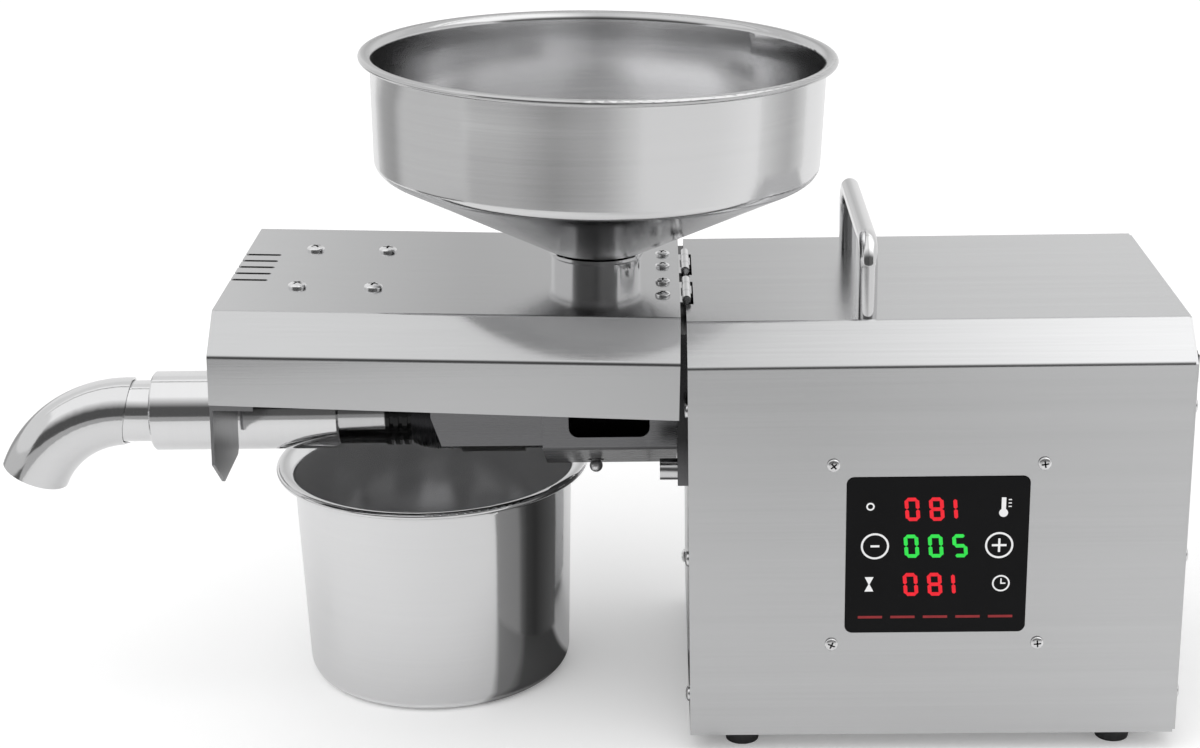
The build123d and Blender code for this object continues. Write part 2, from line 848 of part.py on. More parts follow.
with BuildPart() as gearbox_bearings:
    for plate_x, width, journal in (
        (front_plate_x, front_plate, worm_shank),
        (rear_plate_x, rear_plate, output_rear_radius),
    ):
        with BuildSketch(Plane.YZ.offset(plate_x)):
            with Locations((0, axis_z)):
                Circle(bearing_radius)
                Circle(journal + running_gap, mode=Mode.SUBTRACT)
            with Locations((idler_y, idler_z)):
                Circle(bush_radius)
                Circle(idler_radius + running_gap, mode=Mode.SUBTRACT)
        extrude(amount=width)
save(gearbox_bearings, "gearbox_bearings")

# Motor: a ribbed can on the rear plate, lined by its field magnets, with vents in its rear cap
motor_length = motor_end - rear_plate_end
with BuildPart() as motor_body:
    with BuildSketch(Plane.YZ.offset(rear_plate_end)):
        with Locations((0, motor_z)):
            Circle(motor_radius)
            with PolarLocations(motor_radius, motor_rib_count):
                Rectangle(2 * motor_rib_depth, motor_rib_width, mode=Mode.SUBTRACT)
    extrude(amount=motor_length)
    with BuildSketch(Plane.YZ.offset(rear_plate_end)):
        with Locations((0, motor_z)):
            Circle(motor_boss_radius)
    extrude(amount=-motor_boss_length)
    with BuildSketch(Plane.YZ.offset(rear_plate_end + motor_cap)):
        with Locations((0, motor_z)):
            Circle(motor_bore)
    extrude(amount=motor_length - 2 * motor_cap, mode=Mode.SUBTRACT)
    with BuildSketch(Plane.YZ.offset(rear_plate_end - motor_boss_length)):
        with Locations((0, motor_z)):
            Circle(motor_shaft_radius + running_gap)
    extrude(amount=motor_boss_length + motor_length, mode=Mode.SUBTRACT)
    with BuildSketch(Plane.YZ.offset(motor_end - motor_cap)):
        with Locations((0, motor_z)):
            with PolarLocations(motor_vent_ring, motor_vent_count):
                Circle(motor_vent_radius)
    extrude(amount=motor_cap, mode=Mode.SUBTRACT)
save(motor_body, "motor_body")

# Armature: a slotted core on the motor shaft, with the commutator behind it
armature_start = rear_plate_end + motor_cap + armature_end_gap
commutator_end = motor_end - motor_cap - armature_end_gap
armature_radius = motor_bore - armature_gap
with BuildPart() as motor_armature:
    with BuildSketch(Plane.YZ.offset(armature_start)):
        with Locations((0, motor_z)):
            Circle(armature_radius)
            with PolarLocations(armature_radius, armature_slot_count):
                Rectangle(2 * armature_slot_depth, armature_slot_width, mode=Mode.SUBTRACT)
    extrude(amount=commutator_end - commutator_length - armature_start)
    with BuildSketch(Plane.YZ.offset(commutator_end - commutator_length)):
        with Locations((0, motor_z)):
            Circle(commutator_radius)
    extrude(amount=commutator_length)
    with BuildSketch(Plane.YZ.offset(armature_start)):
        with Locations((0, motor_z)):
            Circle(motor_shaft_radius + fit_gap)
    extrude(amount=commutator_end - armature_start, mode=Mode.SUBTRACT)
save(motor_armature, "motor_armature")

# Flange plate that carries the press head, bolted through to the gearbox
with BuildPart() as flange_plate:
    with BuildSketch(Plane.YZ.offset(x0 - flange_thickness)):
        with Locations((0, base_z + (flange_bottom + flange_top) / 2)):
            Rectangle(2 * flange_half_width, flange_top - flange_bottom)
        with Locations(*flange_bolt_spots):
            Circle(flange_bolt_shank + screw_hole_gap, mode=Mode.SUBTRACT)
        with Locations((0, axis_z)):
            Circle(chamber_spigot_radius + fit_gap, mode=Mode.SUBTRACT)
    extrude(amount=flange_thickness)
save(flange_plate, "flange_plate")

bolt_length = flange_thickness + sheet + front_plate
with BuildPart() as flange_bolts:
    with BuildSketch(Plane.YZ.offset(x0 - flange_thickness)):
        with Locations(*flange_bolt_spots):
            Circle(flange_bolt_head)
    extrude(amount=-flange_bolt_head_length)
    with BuildSketch(Plane.YZ.offset(x0 - flange_thickness)):
        with Locations(*flange_bolt_spots):
            Circle(flange_bolt_shank)
    extrude(amount=bolt_length)
    with BuildSketch(Plane.YZ.offset(x0 - flange_thickness - flange_bolt_head_length)):
        with Locations(*flange_bolt_spots):
            RegularPolygon(flange_bolt_socket, 6)
    extrude(amount=flange_bolt_head_length / 2, mode=Mode.SUBTRACT)
save(flange_bolts, "flange_bolts")

# Press chamber: turned barrel with a domed end and a feed throat on top
throat_base_z = base_z + throat_base
throat_z = base_z + throat_top
lock_angle = atan2(trough_half_width - trough_flat / 2, trough_fold - trough_ridge)
lock_line = (0, -cos(lock_angle), -sin(lock_angle))
lock_plane = Plane((x0 - lock_pin_station, 0, axis_z), x_dir=(1, 0, 0), z_dir=lock_line)
with BuildPart() as press_chamber:
    with BuildSketch(Plane((x0, 0, axis_z), x_dir=(-1, 0, 0), z_dir=(0, -1, 0))):
        with BuildLine():
            Polyline(
                (cage_back, neck_radius),
                (cage_back, 0),
                (0, 0),
                (0, chamber_spigot_radius),
                (flange_thickness, chamber_spigot_radius),
                (flange_thickness, chamber_radius),
                (chamber_front, chamber_radius),
            )
            TangentArc((chamber_front, chamber_radius), (cage_back, neck_radius), tangent=(1, 0))
        make_face()
    revolve(axis=press_axis)
    with BuildSketch(Plane.XY.offset(throat_base_z)):
        with Locations((x0 - hopper_x, 0)):
            Circle(throat_radius)
    extrude(amount=throat_z - throat_base_z)
    with BuildSketch(station_plane(0)):
        Circle(chamber_bore)
    extrude(amount=cage_back, mode=Mode.SUBTRACT)
    with BuildSketch(Plane((x0 - hopper_x, 0, throat_z), x_dir=(1, 0, 0), z_dir=(0, -1, 0))):
        with BuildLine():
            Polyline(
                (0, 0),
                (throat_bore + throat_flare, 0),
                (throat_bore, -throat_flare),
                (throat_bore, throat_base_z - throat_z),
                (0, throat_base_z - throat_z),
                close=True,
            )
        make_face()
    revolve(axis=Axis((x0 - hopper_x, 0, 0), (0, 0, 1)), mode=Mode.SUBTRACT)
    with BuildSketch(lock_plane.offset(chamber_radius - lock_pin_depth)):
        Circle(lock_pin_radius + fit_gap)
    extrude(amount=2 * lock_pin_depth, mode=Mode.SUBTRACT)
    with BuildSketch(Plane.XY.offset(axis_z + chamber_radius - probe_depth)):
        with Locations((x0 - probe_station, 0)):
            Circle(probe_radius + fit_gap)
    extrude(amount=2 * probe_depth, mode=Mode.SUBTRACT)
save(press_chamber, "press_chamber")

# Bush behind the worm, band heater and temperature probe on the chamber
with BuildPart() as worm_bush:
    with BuildSketch(station_plane(0)):
        Circle(chamber_bore - fit_gap)
        Circle(worm_shank + running_gap, mode=Mode.SUBTRACT)
    extrude(amount=bush_length)
save(worm_bush, "worm_bush")

heater_radius = chamber_radius + fit_gap + heater_wall
with BuildPart() as heater_band:
    with BuildSketch(station_plane(heater_back)):
        Circle(heater_radius)
        with Locations((0, heater_radius + heater_ear / 2 - heater_wall)):
            Rectangle(2 * heater_ear, heater_ear + heater_wall)
        Circle(chamber_radius + fit_gap, mode=Mode.SUBTRACT)
    extrude(amount=heater_front - heater_back)
save(heater_band, "heater_band")

with BuildPart() as temperature_probe:
    with BuildSketch(Plane.XY.offset(axis_z + chamber_radius - probe_depth + fit_gap)):
        with Locations((x0 - probe_station, 0)):
            Circle(probe_radius)
    extrude(amount=probe_length)
save(temperature_probe, "temperature_probe")

# Oil cage: ribs with gaps that let the oil out, and the plain neck in front of them
rib_pitch = cage_length / cage_rib_count
rib_width = rib_pitch * cage_rib_share
with BuildPart() as oil_cage:
    with BuildSketch(station_plane(cage_back)):
        Circle(cage_groove_radius)
    extrude(amount=cage_length)
    for rib in range(cage_rib_count):
        with BuildSketch(station_plane(cage_back + (rib + 1) * rib_pitch - rib_width)):
            Circle(cage_rib_radius)
        extrude(amount=rib_width)
    with BuildSketch(station_plane(neck_back)):
        Circle(neck_radius)
    extrude(amount=neck_length)
    with BuildSketch(station_plane(cage_back)):
        Circle(chamber_bore)
    extrude(amount=cage_length + neck_length, mode=Mode.SUBTRACT)
save(oil_cage, "oil_cage")

# Outlet sleeve with the pipe that carries the elbow
pipe_front = elbow_back + pipe_insert
with BuildPart() as outlet_sleeve:
    turn(
        station_plane(0),
        (sleeve_bore, sleeve_back),
        (sleeve_radius - sleeve_edge, sleeve_back),
        (sleeve_radius, sleeve_back + sleeve_edge),
        (sleeve_radius, sleeve_front - sleeve_edge),
        (sleeve_radius - sleeve_edge, sleeve_front),
        (pipe_radius, sleeve_front),
        (pipe_radius, pipe_front),
        (pipe_radius - pipe_wall, pipe_front),
        (pipe_radius - pipe_wall, sleeve_front - sleeve_edge),
        (sleeve_bore, sleeve_front - sleeve_edge),
    )
save(outlet_sleeve, "outlet_sleeve")

# Outlet elbow: a bent tube that turns on the pipe, its near end cut at a slant
bend_axis = Axis((x0 - bend_start, 0, axis_z - elbow_bend), (0, -1, 0))
mitre_rise = elbow_radius * tan(radians(elbow_mitre))
with BuildPart() as outlet_elbow:
    with BuildSketch(station_plane(elbow_back - mitre_rise)):
        Circle(elbow_radius)
        Circle(elbow_radius - elbow_wall, mode=Mode.SUBTRACT)
    extrude(amount=elbow_lead + mitre_rise)
    with BuildSketch(station_plane(bend_start)):
        Circle(elbow_radius)
        Circle(elbow_radius - elbow_wall, mode=Mode.SUBTRACT)
    revolve(axis=bend_axis, revolution_arc=elbow_angle)
    with BuildSketch(Plane((x0 - elbow_back, 0, axis_z), x_dir=(1, 0, 0), z_dir=(0, -1, 0))):
        with BuildLine():
            Polyline(
                (-mitre_rise, -elbow_radius),
                (mitre_rise, elbow_radius),
                (mitre_rise, -elbow_radius),
                close=True,
            )
        make_face()
    extrude(amount=elbow_radius, both=True, mode=Mode.SUBTRACT)
save(outlet_elbow, "outlet_elbow")

# Press worm: a root that thickens towards the outlet, with one helical flight
worm_radius = chamber_bore - worm_gap
worm_back = bush_length + worm_gap
worm_front = sleeve_back
worm_tip = worm_front + worm_radius
shank_end = -sheet
with BuildPart() as press_worm:
    turn(
        station_plane(0),
        (0, shank_end),
        (worm_shank, shank_end),
        (worm_shank, worm_back),
        (worm_root_back, worm_back),
        (worm_root_front, worm_front),
        (0, worm_tip),
    )
    with BuildLine() as flight_line:
        Helix(
            worm_pitch,
            worm_front - worm_back - worm_flight,
            worm_root_back,
            center=(x0 - worm_back - worm_flight / 2, 0, axis_z),
            direction=(-1, 0, 0),
        )
    with BuildSketch(Plane(flight_line.line @ 0, x_dir=(-1, 0, 0), z_dir=flight_line.line % 0)):
        flight_rise = worm_radius - worm_root_back
        with BuildLine():
            Polyline(
                (-worm_flight / 2, -worm_flight_sunk),
                (worm_flight / 2, -worm_flight_sunk),
                (worm_flight_tip / 2, flight_rise),
                (-worm_flight_tip / 2, flight_rise),
                close=True,
            )
        make_face()
    sweep(path=flight_line.line, is_frenet=True)
    with BuildSketch(station_plane(shank_end)):
        RegularPolygon(socket_flats / 2, 6, major_radius=False)
    extrude(amount=socket_depth, mode=Mode.SUBTRACT)
save(press_worm, "press_worm")

# Drip trough: a folded channel on the flange plate, with a window in each side
trough_back = flange_thickness
trough_path = [
    (-trough_half_width, base_z + trough_wall_top),
    (-trough_half_width, base_z + trough_fold),
    (-trough_flat / 2, base_z + trough_ridge),
    (trough_flat / 2, base_z + trough_ridge),
    (trough_half_width, base_z + trough_fold),
    (trough_half_width, base_z + trough_wall_top),
]
with BuildPart() as drip_trough:
    with BuildSketch(Plane.YZ.offset(x0 - trough_reach)):
        with BuildLine():
            FilletPolyline(*trough_path, radius=bend_radius)
            offset(amount=trough_sheet, side=Side.LEFT)
        make_face()
    extrude(amount=trough_reach - trough_back)
    with BuildSketch(Plane.XZ):
        with Locations((x0 - (window_near + window_far) / 2, base_z + (window_bottom + window_top) / 2)):
            RectangleRounded(window_far - window_near, window_top - window_bottom, window_corner)
    extrude(amount=2 * trough_half_width, both=True, mode=Mode.SUBTRACT)
    with BuildSketch(lock_plane.offset(chamber_radius)):
        Circle(lock_pin_hole)
    extrude(amount=trough_half_width, mode=Mode.SUBTRACT)
save(drip_trough, "drip_trough")

guard_y = trough_half_width - trough_sheet
with BuildPart() as splash_guards:
    for face_y in (-guard_y + trough_sheet, guard_y):
        with BuildSketch(Plane.XZ.offset(-face_y)):
            with BuildLine():
                Polyline(
                    (x0 - trough_reach + guard_overlap, base_z + guard_bottom),
                    (x0 - trough_reach + guard_overlap, base_z + guard_top),
                    (x0 - guard_reach - guard_slant, base_z + guard_top),
                    (x0 - guard_reach - guard_slant, base_z + guard_bottom + guard_corner),
                    (x0 - guard_reach, base_z + guard_bottom),
                    close=True,
                )
            make_face()
        extrude(amount=trough_sheet)
save(splash_guards, "splash_guards")

# Lock pin: holds the chamber, with a ball end outside the trough's sloping floor
slope_distance = abs(
    (trough_half_width * cos(lock_angle)) + (axis_height - trough_fold) * sin(lock_angle)
)
lock_pin_end = slope_distance + lock_pin_show
with BuildPart() as lock_pin:
    with BuildSketch(lock_plane.offset(chamber_radius - lock_pin_depth + fit_gap)):
        Circle(lock_pin_radius)
    extrude(amount=lock_pin_end - chamber_radius + lock_pin_depth)
    with Locations(lock_plane.offset(lock_pin_end + lock_pin_ball / 2).location):
        Sphere(lock_pin_ball)
save(lock_pin, "lock_pin")

# Hinges: two, each with a fixed leaf in the casing, a cover leaf and a pin
side_knuckle = hinge_length * hinge_share
mid_knuckle = hinge_length - 2 * side_knuckle - 2 * hinge_split
with BuildPart() as hinge_fixed_leaves:
    for y in hinge_ys:
        with BuildSketch(Plane.XZ.offset(-y - mid_knuckle / 2)):
            with Locations((x0 + hinge_x, hinge_z)):
                Circle(hinge_knuckle)
            with Locations((x0 + sheet + hinge_leaf / 2, hinge_z - hinge_leaf_drop / 2)):
                Rectangle(hinge_leaf, hinge_leaf_drop)
            with Locations((x0 + hinge_x, hinge_z)):
                Circle(hinge_pin_radius + running_gap, mode=Mode.SUBTRACT)
        extrude(amount=mid_knuckle)
save(hinge_fixed_leaves, "hinge_fixed_leaves")

with BuildPart() as hinge_pins:
    for y in hinge_ys:
        pin_end = hinge_length / 2 + hinge_split
        with BuildSketch(Plane.XZ.offset(-y - pin_end)):
            with Locations((x0 + hinge_x, hinge_z)):
                Circle(hinge_pin_radius)
        extrude(amount=2 * pin_end)
        for head_y in (y + pin_end + hinge_pin_head_length, y - pin_end):
            with BuildSketch(Plane.XZ.offset(-head_y)):
                with Locations((x0 + hinge_x, hinge_z)):
                    Circle(hinge_pin_head)
            extrude(amount=hinge_pin_head_length)
save(hinge_pins, "hinge_pins")

cover_under = cover_crown - sheet
hinge_hole = cover_screw_shank + screw_hole_gap
hinge_screw_spots = [(-hinge_screw_x, y + d * hinge_screw_pitch / 2) for y in hinge_ys for d in (-1, 1)]
with BuildPart() as hinge_cover_leaves:
    for y in hinge_ys:
        for end in (-1, 1):
            centre = y + end * (hinge_length - side_knuckle) / 2
            with BuildSketch(cover_side(centre + side_knuckle / 2)):
                Circle(hinge_knuckle)
                with Locations((-hinge_knuckle, cover_under - hinge_leaf / 2)):
                    Rectangle(2 * hinge_knuckle, hinge_leaf)
                Circle(hinge_pin_radius + running_gap, mode=Mode.SUBTRACT)
            extrude(amount=side_knuckle)
        with BuildSketch(cover_level(cover_under - hinge_leaf)):
            with Locations((-(hinge_leaf_width + hinge_knuckle) / 2 - hinge_split, y)):
                Rectangle(hinge_leaf_width - hinge_knuckle, hinge_length)
            with Locations(*hinge_screw_spots):
                Circle(hinge_hole, mode=Mode.SUBTRACT)
        extrude(amount=hinge_leaf)
save(hinge_cover_leaves, "hinge_cover_leaves")

with BuildPart() as hinge_screws:
    for x, y in hinge_screw_spots:
        pan_screw(cover_seat(x, y), hinge_screw_head, cover_screw_shank, cover_screw_length)
save(hinge_screws, "hinge_screws")

# Cover shell: folded like the casing, with a hole for the collar and slots over its front edge
cover_screw_spots = [
    (-cover_screw_x + dx * cover_screw_pitch_x / 2, dy * cover_screw_pitch_y / 2)
    for dx in (-1, 1)
    for dy in (-1, 1)
]
cover_hole = spigot_radius + spigot_gap
skirt_bottom = cover_crown - cover_skirt
with BuildPart() as cover_shell:
    with BuildSketch(cover_slice(cover_reach)):
        with BuildLine():
            FilletPolyline(*sheet_path(half_depth, cover_crown, skirt_bottom), radius=bend_radius)
            offset(amount=sheet, side=Side.RIGHT)
        make_face()
    extrude(amount=cover_reach - cover_back_gap)
    with BuildSketch(cover_side(0)):
        with BuildLine():
            Polyline(
                (0, skirt_bottom),
                (-cover_reach, skirt_bottom + skirt_taper),
                (-cover_reach, skirt_bottom),
                close=True,
            )
        make_face()
    extrude(amount=half_depth, both=True, mode=Mode.SUBTRACT)
    with BuildSketch(cover_level(cover_under - sheet)):
        with Locations((-hopper_x, 0)):
            Circle(cover_hole)
        with Locations(*cover_screw_spots, *hinge_screw_spots):
            Circle(hinge_hole)
        with Locations((-cover_reach + slot_length / 2 - slot_width, 0)):
            with GridLocations(1, slot_pitch, 1, slot_count):
                SlotOverall(slot_length + slot_width, slot_width)
    extrude(amount=3 * sheet, mode=Mode.SUBTRACT)
save(cover_shell, "cover_shell")

# Cover end plate: a fork that comes down over the outlet sleeve
fork_outer = half_depth - sheet - seam_gap
fork_top = cover_under - seam_gap
fork_bottom = cover_crown - fork_reach
sleeve_seat = in_cover(cover_reach, 0, axis_z).Z
with BuildPart() as cover_end_plate:
    with BuildSketch(cover_slice(cover_reach)):
        with BuildLine():
            Polyline(
                (-fork_outer, fork_bottom + fork_corner_rise),
                *sheet_path(fork_outer, fork_top, fork_bottom + fork_corner_rise)[1:-1],
                (fork_outer, fork_bottom + fork_corner_rise),
                (fork_outer - fork_corner_run, fork_bottom),
                (fork_arch + fork_flare_run, fork_bottom),
                (fork_arch, fork_bottom + fork_flare_rise),
                (fork_arch, sleeve_seat),
            )
            ThreePointArc((fork_arch, sleeve_seat), (0, sleeve_seat + fork_arch), (-fork_arch, sleeve_seat))
            Polyline(
                (-fork_arch, sleeve_seat),
                (-fork_arch, fork_bottom + fork_flare_rise),
                (-fork_arch - fork_flare_run, fork_bottom),
                (-fork_outer + fork_corner_run, fork_bottom),
                (-fork_outer, fork_bottom + fork_corner_rise),
            )
        make_face()
        with Locations((0, fork_top)):
            with GridLocations(slot_pitch, 1, slot_count, 1):
                Rectangle(slot_width, slot_length, mode=Mode.SUBTRACT)
    extrude(amount=sheet)
    tab_top = cover_crown - bevel_drop - bend_radius
    tab_bottom = skirt_bottom + skirt_taper - fork_tab_drop
    for side in (-1, 1):
        with BuildSketch(cover_side(side * (fork_outer - sheet / 2) + sheet / 2)):
            with Locations((-cover_reach + fork_tab_length / 2, (tab_top + tab_bottom) / 2)):
                Rectangle(fork_tab_length, tab_top - tab_bottom)
        extrude(amount=sheet)
save(cover_end_plate, "cover_end_plate")

with BuildPart() as cover_screws:
    for x, y in cover_screw_spots:
        pan_screw(cover_seat(x, y), cover_screw_head, cover_screw_shank, cover_screw_length)
save(cover_screws, "cover_screws")

# Rest saddle: a hat-shaped bracket under the cover screws that lands on the sleeve
saddle_rest = in_cover(sleeve_back, 0, axis_z + sleeve_radius + saddle_gap).Z
saddle_wide = cover_screw_pitch_y / 2 + saddle_margin
saddle_long = cover_screw_pitch_x + 2 * saddle_margin
with BuildPart() as rest_saddle:
    with BuildSketch(cover_slice(cover_screw_x + saddle_long / 2)):
        with BuildLine():
            Polyline(
                (-saddle_wide, cover_under),
                (-saddle_half_width, cover_under),
                (-saddle_half_width, saddle_rest + saddle_sheet),
                (saddle_half_width, saddle_rest + saddle_sheet),
                (saddle_half_width, cover_under),
                (saddle_wide, cover_under),
            )
            offset(amount=saddle_sheet, side=Side.RIGHT, kind=Kind.INTERSECTION)
        make_face()
    extrude(amount=saddle_long)
    with BuildSketch(cover_level(cover_under - 2 * saddle_sheet)):
        with Locations(*cover_screw_spots):
            Circle(hinge_hole)
    extrude(amount=3 * saddle_sheet, mode=Mode.SUBTRACT)
save(rest_saddle, "rest_saddle")

# Hopper collar, welded into the cover's hole
hopper_plane = Plane(
    cover_frame.from_local_coords((-hopper_x, 0, 0)), x_dir=cover_frame.x_dir, z_dir=cover_frame.z_dir
)
cone_slope = (drum_start - cone_start) / (drum_low_radius - spigot_radius)


def cone_seat(radius):
    """The level of the collar's top, a small gap under the hopper's cone."""
    return cover_crown + cone_start + (radius - spigot_radius) * cone_slope - stop_gap


rim_edge = collar_radius + collar_bead
rim_inside = cover_hole + collar_bead
with BuildPart() as hopper_collar:
    turn(
        hopper_plane,
        (cover_hole, cover_crown),
        (collar_radius, cover_crown),
        (collar_radius, cone_seat(collar_radius) - 2 * collar_bead),
        (rim_edge, cone_seat(collar_radius) - collar_bead),
        (rim_edge, cone_seat(rim_edge)),
        (rim_inside, cone_seat(rim_inside)),
        (cover_hole, cone_seat(cover_hole) - collar_bead),
    )
save(hopper_collar, "hopper_collar")

# Hopper: spun bowl with a spigot that stands in the collar
with BuildPart() as hopper_bowl:
    with BuildSketch(Plane(hopper_plane.origin, x_dir=hopper_plane.x_dir, z_dir=-hopper_plane.y_dir)):
        with BuildLine():
            FilletPolyline(
                (spigot_radius, cover_crown - spigot_drop),
                (spigot_radius, cover_crown + cone_start),
                (drum_low_radius, cover_crown + drum_start),
                (drum_high_radius, cover_crown + rim_height),
                (rim_radius - rim_roll, cover_crown + rim_height),
                radius=(cone_bend, drum_bend, rim_bend),
            )
            offset(amount=hopper_wall, side=Side.LEFT)
        make_face()
        with Locations((rim_radius - rim_roll, cover_crown + rim_height - rim_roll + hopper_wall)):
            Circle(rim_roll)
    revolve(axis=Axis(hopper_plane.origin, hopper_plane.z_dir))
save(hopper_bowl, "hopper_bowl")

# Oil pot, standing on the floor under the cage
pot_plane = Plane((x0 - pot_x, pot_y, 0))
with BuildPart() as oil_pot:
    with BuildSketch(Plane(pot_plane.origin, x_dir=(1, 0, 0), z_dir=(0, -1, 0))):
        with BuildLine():
            FilletPolyline(
                (0, 0),
                (pot_base_radius, 0),
                (pot_mouth_radius, pot_height),
                (pot_rim_radius - pot_rim_roll, pot_height),
                radius=(pot_base_bend, pot_rim_bend),
            )
            offset(amount=pot_wall, side=Side.LEFT)
        make_face()
        with Locations((pot_rim_radius - pot_rim_roll, pot_height - pot_rim_roll + pot_wall)):
            Circle(pot_rim_roll)
    revolve(axis=Axis(pot_plane.origin, (0, 0, 1)))
save(oil_pot, "oil_pot")

# Fan behind the right end's slots
fan_plane = Plane((fan_front, 0, fan_centre_z), x_dir=(0, 1, 0), z_dir=(1, 0, 0))
with BuildPart() as fan_frame:
    with BuildSketch(fan_plane):
        RectangleRounded(fan_size, fan_size, fan_corner)
        Circle(fan_bore, mode=Mode.SUBTRACT)
    extrude(amount=fan_depth)
    with BuildSketch(fan_plane):
        Circle(fan_hub)
        Rectangle(2 * fan_bore + fan_strut, fan_strut)
        Rectangle(fan_strut, 2 * fan_bore + fan_strut)
    extrude(amount=fan_back)
    with BuildSketch(fan_plane):
        Circle(fan_pin)
    extrude(amount=fan_depth - fan_back)
save(fan_frame, "fan_frame")

rotor_start = fan_back + seam_gap
blade_rise = fan_bore - fan_tip_gap
with BuildPart() as fan_rotor:
    with BuildSketch(fan_plane.offset(rotor_start)):
        Circle(fan_hub)
    extrude(amount=fan_rotor_depth)
    for blade in range(fan_blade_count):
        spin = 360.0 * blade / fan_blade_count
        root = Plane(
            (fan_front + rotor_start + fan_rotor_depth / 2, 0, fan_centre_z),
            x_dir=(1, 0, 0),
            z_dir=(0, cos(radians(spin)), sin(radians(spin))),
        )
        with BuildSketch(root.offset(fan_hub / 2)):
            Rectangle(fan_blade_width, fan_blade_thickness, rotation=fan_blade_pitch)
        extrude(amount=blade_rise - fan_hub / 2)
    with BuildSketch(fan_plane.offset(rotor_start)):
        Circle(fan_pin + running_gap)
    extrude(amount=fan_rotor_depth, mode=Mode.SUBTRACT)
save(fan_rotor, "fan_rotor")

# Rocker switches: two fixed bodies, each with its own rocker
pivot_x = right_face + rocker_pivot
with BuildPart() as switch_bodies:
    for y in switch_ys:
        face = Plane((right_face, y, row_z), x_dir=(0, 1, 0), z_dir=(1, 0, 0))
        with BuildSketch(face):
            RectangleRounded(switch_length, switch_height, switch_wall)
        extrude(amount=switch_bezel)
        with BuildSketch(face):
            Rectangle(switch_length - switch_wall - 2 * seam_gap, switch_height - switch_wall - 2 * seam_gap)
        extrude(amount=-switch_body_depth)
        with BuildSketch(face.offset(switch_bezel)):
            Rectangle(switch_length - 2 * switch_wall, switch_height - 2 * switch_wall)
        extrude(amount=-switch_bezel - switch_cavity_depth, mode=Mode.SUBTRACT)
        with BuildSketch(Plane((pivot_x, y, row_z - switch_height / 2 + switch_wall / 2))):
            Circle(rocker_pin)
        extrude(amount=switch_height - switch_wall)
save(switch_bodies, "switch_bodies")


def make_rocker(y):
    """A rocker on its pin, pressed at one end: sketch axes are the long way and outwards."""
    tilt = radians(rocker_tilt)
    height = switch_height - 2 * switch_wall - 2 * rocker_gap
    plane = Plane(
        (pivot_x, y, row_z + height / 2), x_dir=(-sin(tilt), cos(tilt), 0), z_dir=(0, 0, -1)
    )
    with BuildSketch(plane) as profile:
        with BuildLine():
            Polyline(
                (-rocker_half, rocker_rise),
                (0, rocker_rise - rocker_dip),
                (rocker_half, rocker_rise),
                (rocker_half, 0),
                (rocker_root_half, -rocker_root),
                (-rocker_root_half, -rocker_root),
                (-rocker_half, 0),
                close=True,
            )
        make_face()
        Circle(rocker_pin + running_gap, mode=Mode.SUBTRACT)
    extrude(profile.sketch, amount=height)


with BuildPart() as motor_rocker:
    make_rocker(switch_ys[0])
save(motor_rocker, "motor_rocker")

with BuildPart() as power_rocker:
    make_rocker(switch_ys[1])
save(power_rocker, "power_rocker")

# Power inlet with its pins
inlet_face = Plane((right_face, inlet_y, row_z), x_dir=(0, 1, 0), z_dir=(1, 0, 0))
cavity_width = inlet_length - 2 * inlet_wall
cavity_height = inlet_height - 2 * inlet_wall
with BuildPart() as power_inlet:
    with BuildSketch(inlet_face):
        RectangleRounded(inlet_length, inlet_height, inlet_wall)
    extrude(amount=inlet_rim)
    with BuildSketch(inlet_face):
        Rectangle(inlet_length - inlet_wall - 2 * seam_gap, inlet_height - inlet_wall - 2 * seam_gap)
    extrude(amount=-inlet_depth - inlet_wall)
    with BuildSketch(inlet_face.offset(inlet_rim)):
        with BuildLine():
            Polyline(
                (-cavity_width / 2, -cavity_height / 2),
                (cavity_width / 2, -cavity_height / 2),
                (cavity_width / 2, cavity_height / 2 - inlet_corner),
                (cavity_width / 2 - inlet_corner, cavity_height / 2),
                (-cavity_width / 2 + inlet_corner, cavity_height / 2),
                (-cavity_width / 2, cavity_height / 2 - inlet_corner),
                close=True,
            )
        make_face()
    extrude(amount=-inlet_rim - inlet_depth, mode=Mode.SUBTRACT)
save(power_inlet, "power_inlet")

inlet_pin_spots = [(side * inlet_pin_spacing, -inlet_pin_drop) for side in (-1, 1)] + [(0, inlet_pin_drop)]
with BuildPart() as inlet_pins:
    with BuildSketch(inlet_face.offset(-inlet_depth)):
        with Locations(*inlet_pin_spots):
            Rectangle(inlet_pin_width, inlet_pin_height)
    extrude(amount=inlet_pin_length)
save(inlet_pins, "inlet_pins")
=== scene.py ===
"""Screw oil press: the finish of every piece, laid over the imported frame. Metres, +Z up.

The press stands on the floor at Z = 0 with its axis along X, and its front faces -Y.
"""

import json
import math

import bmesh
import bpy
from mathutils import Matrix, Vector

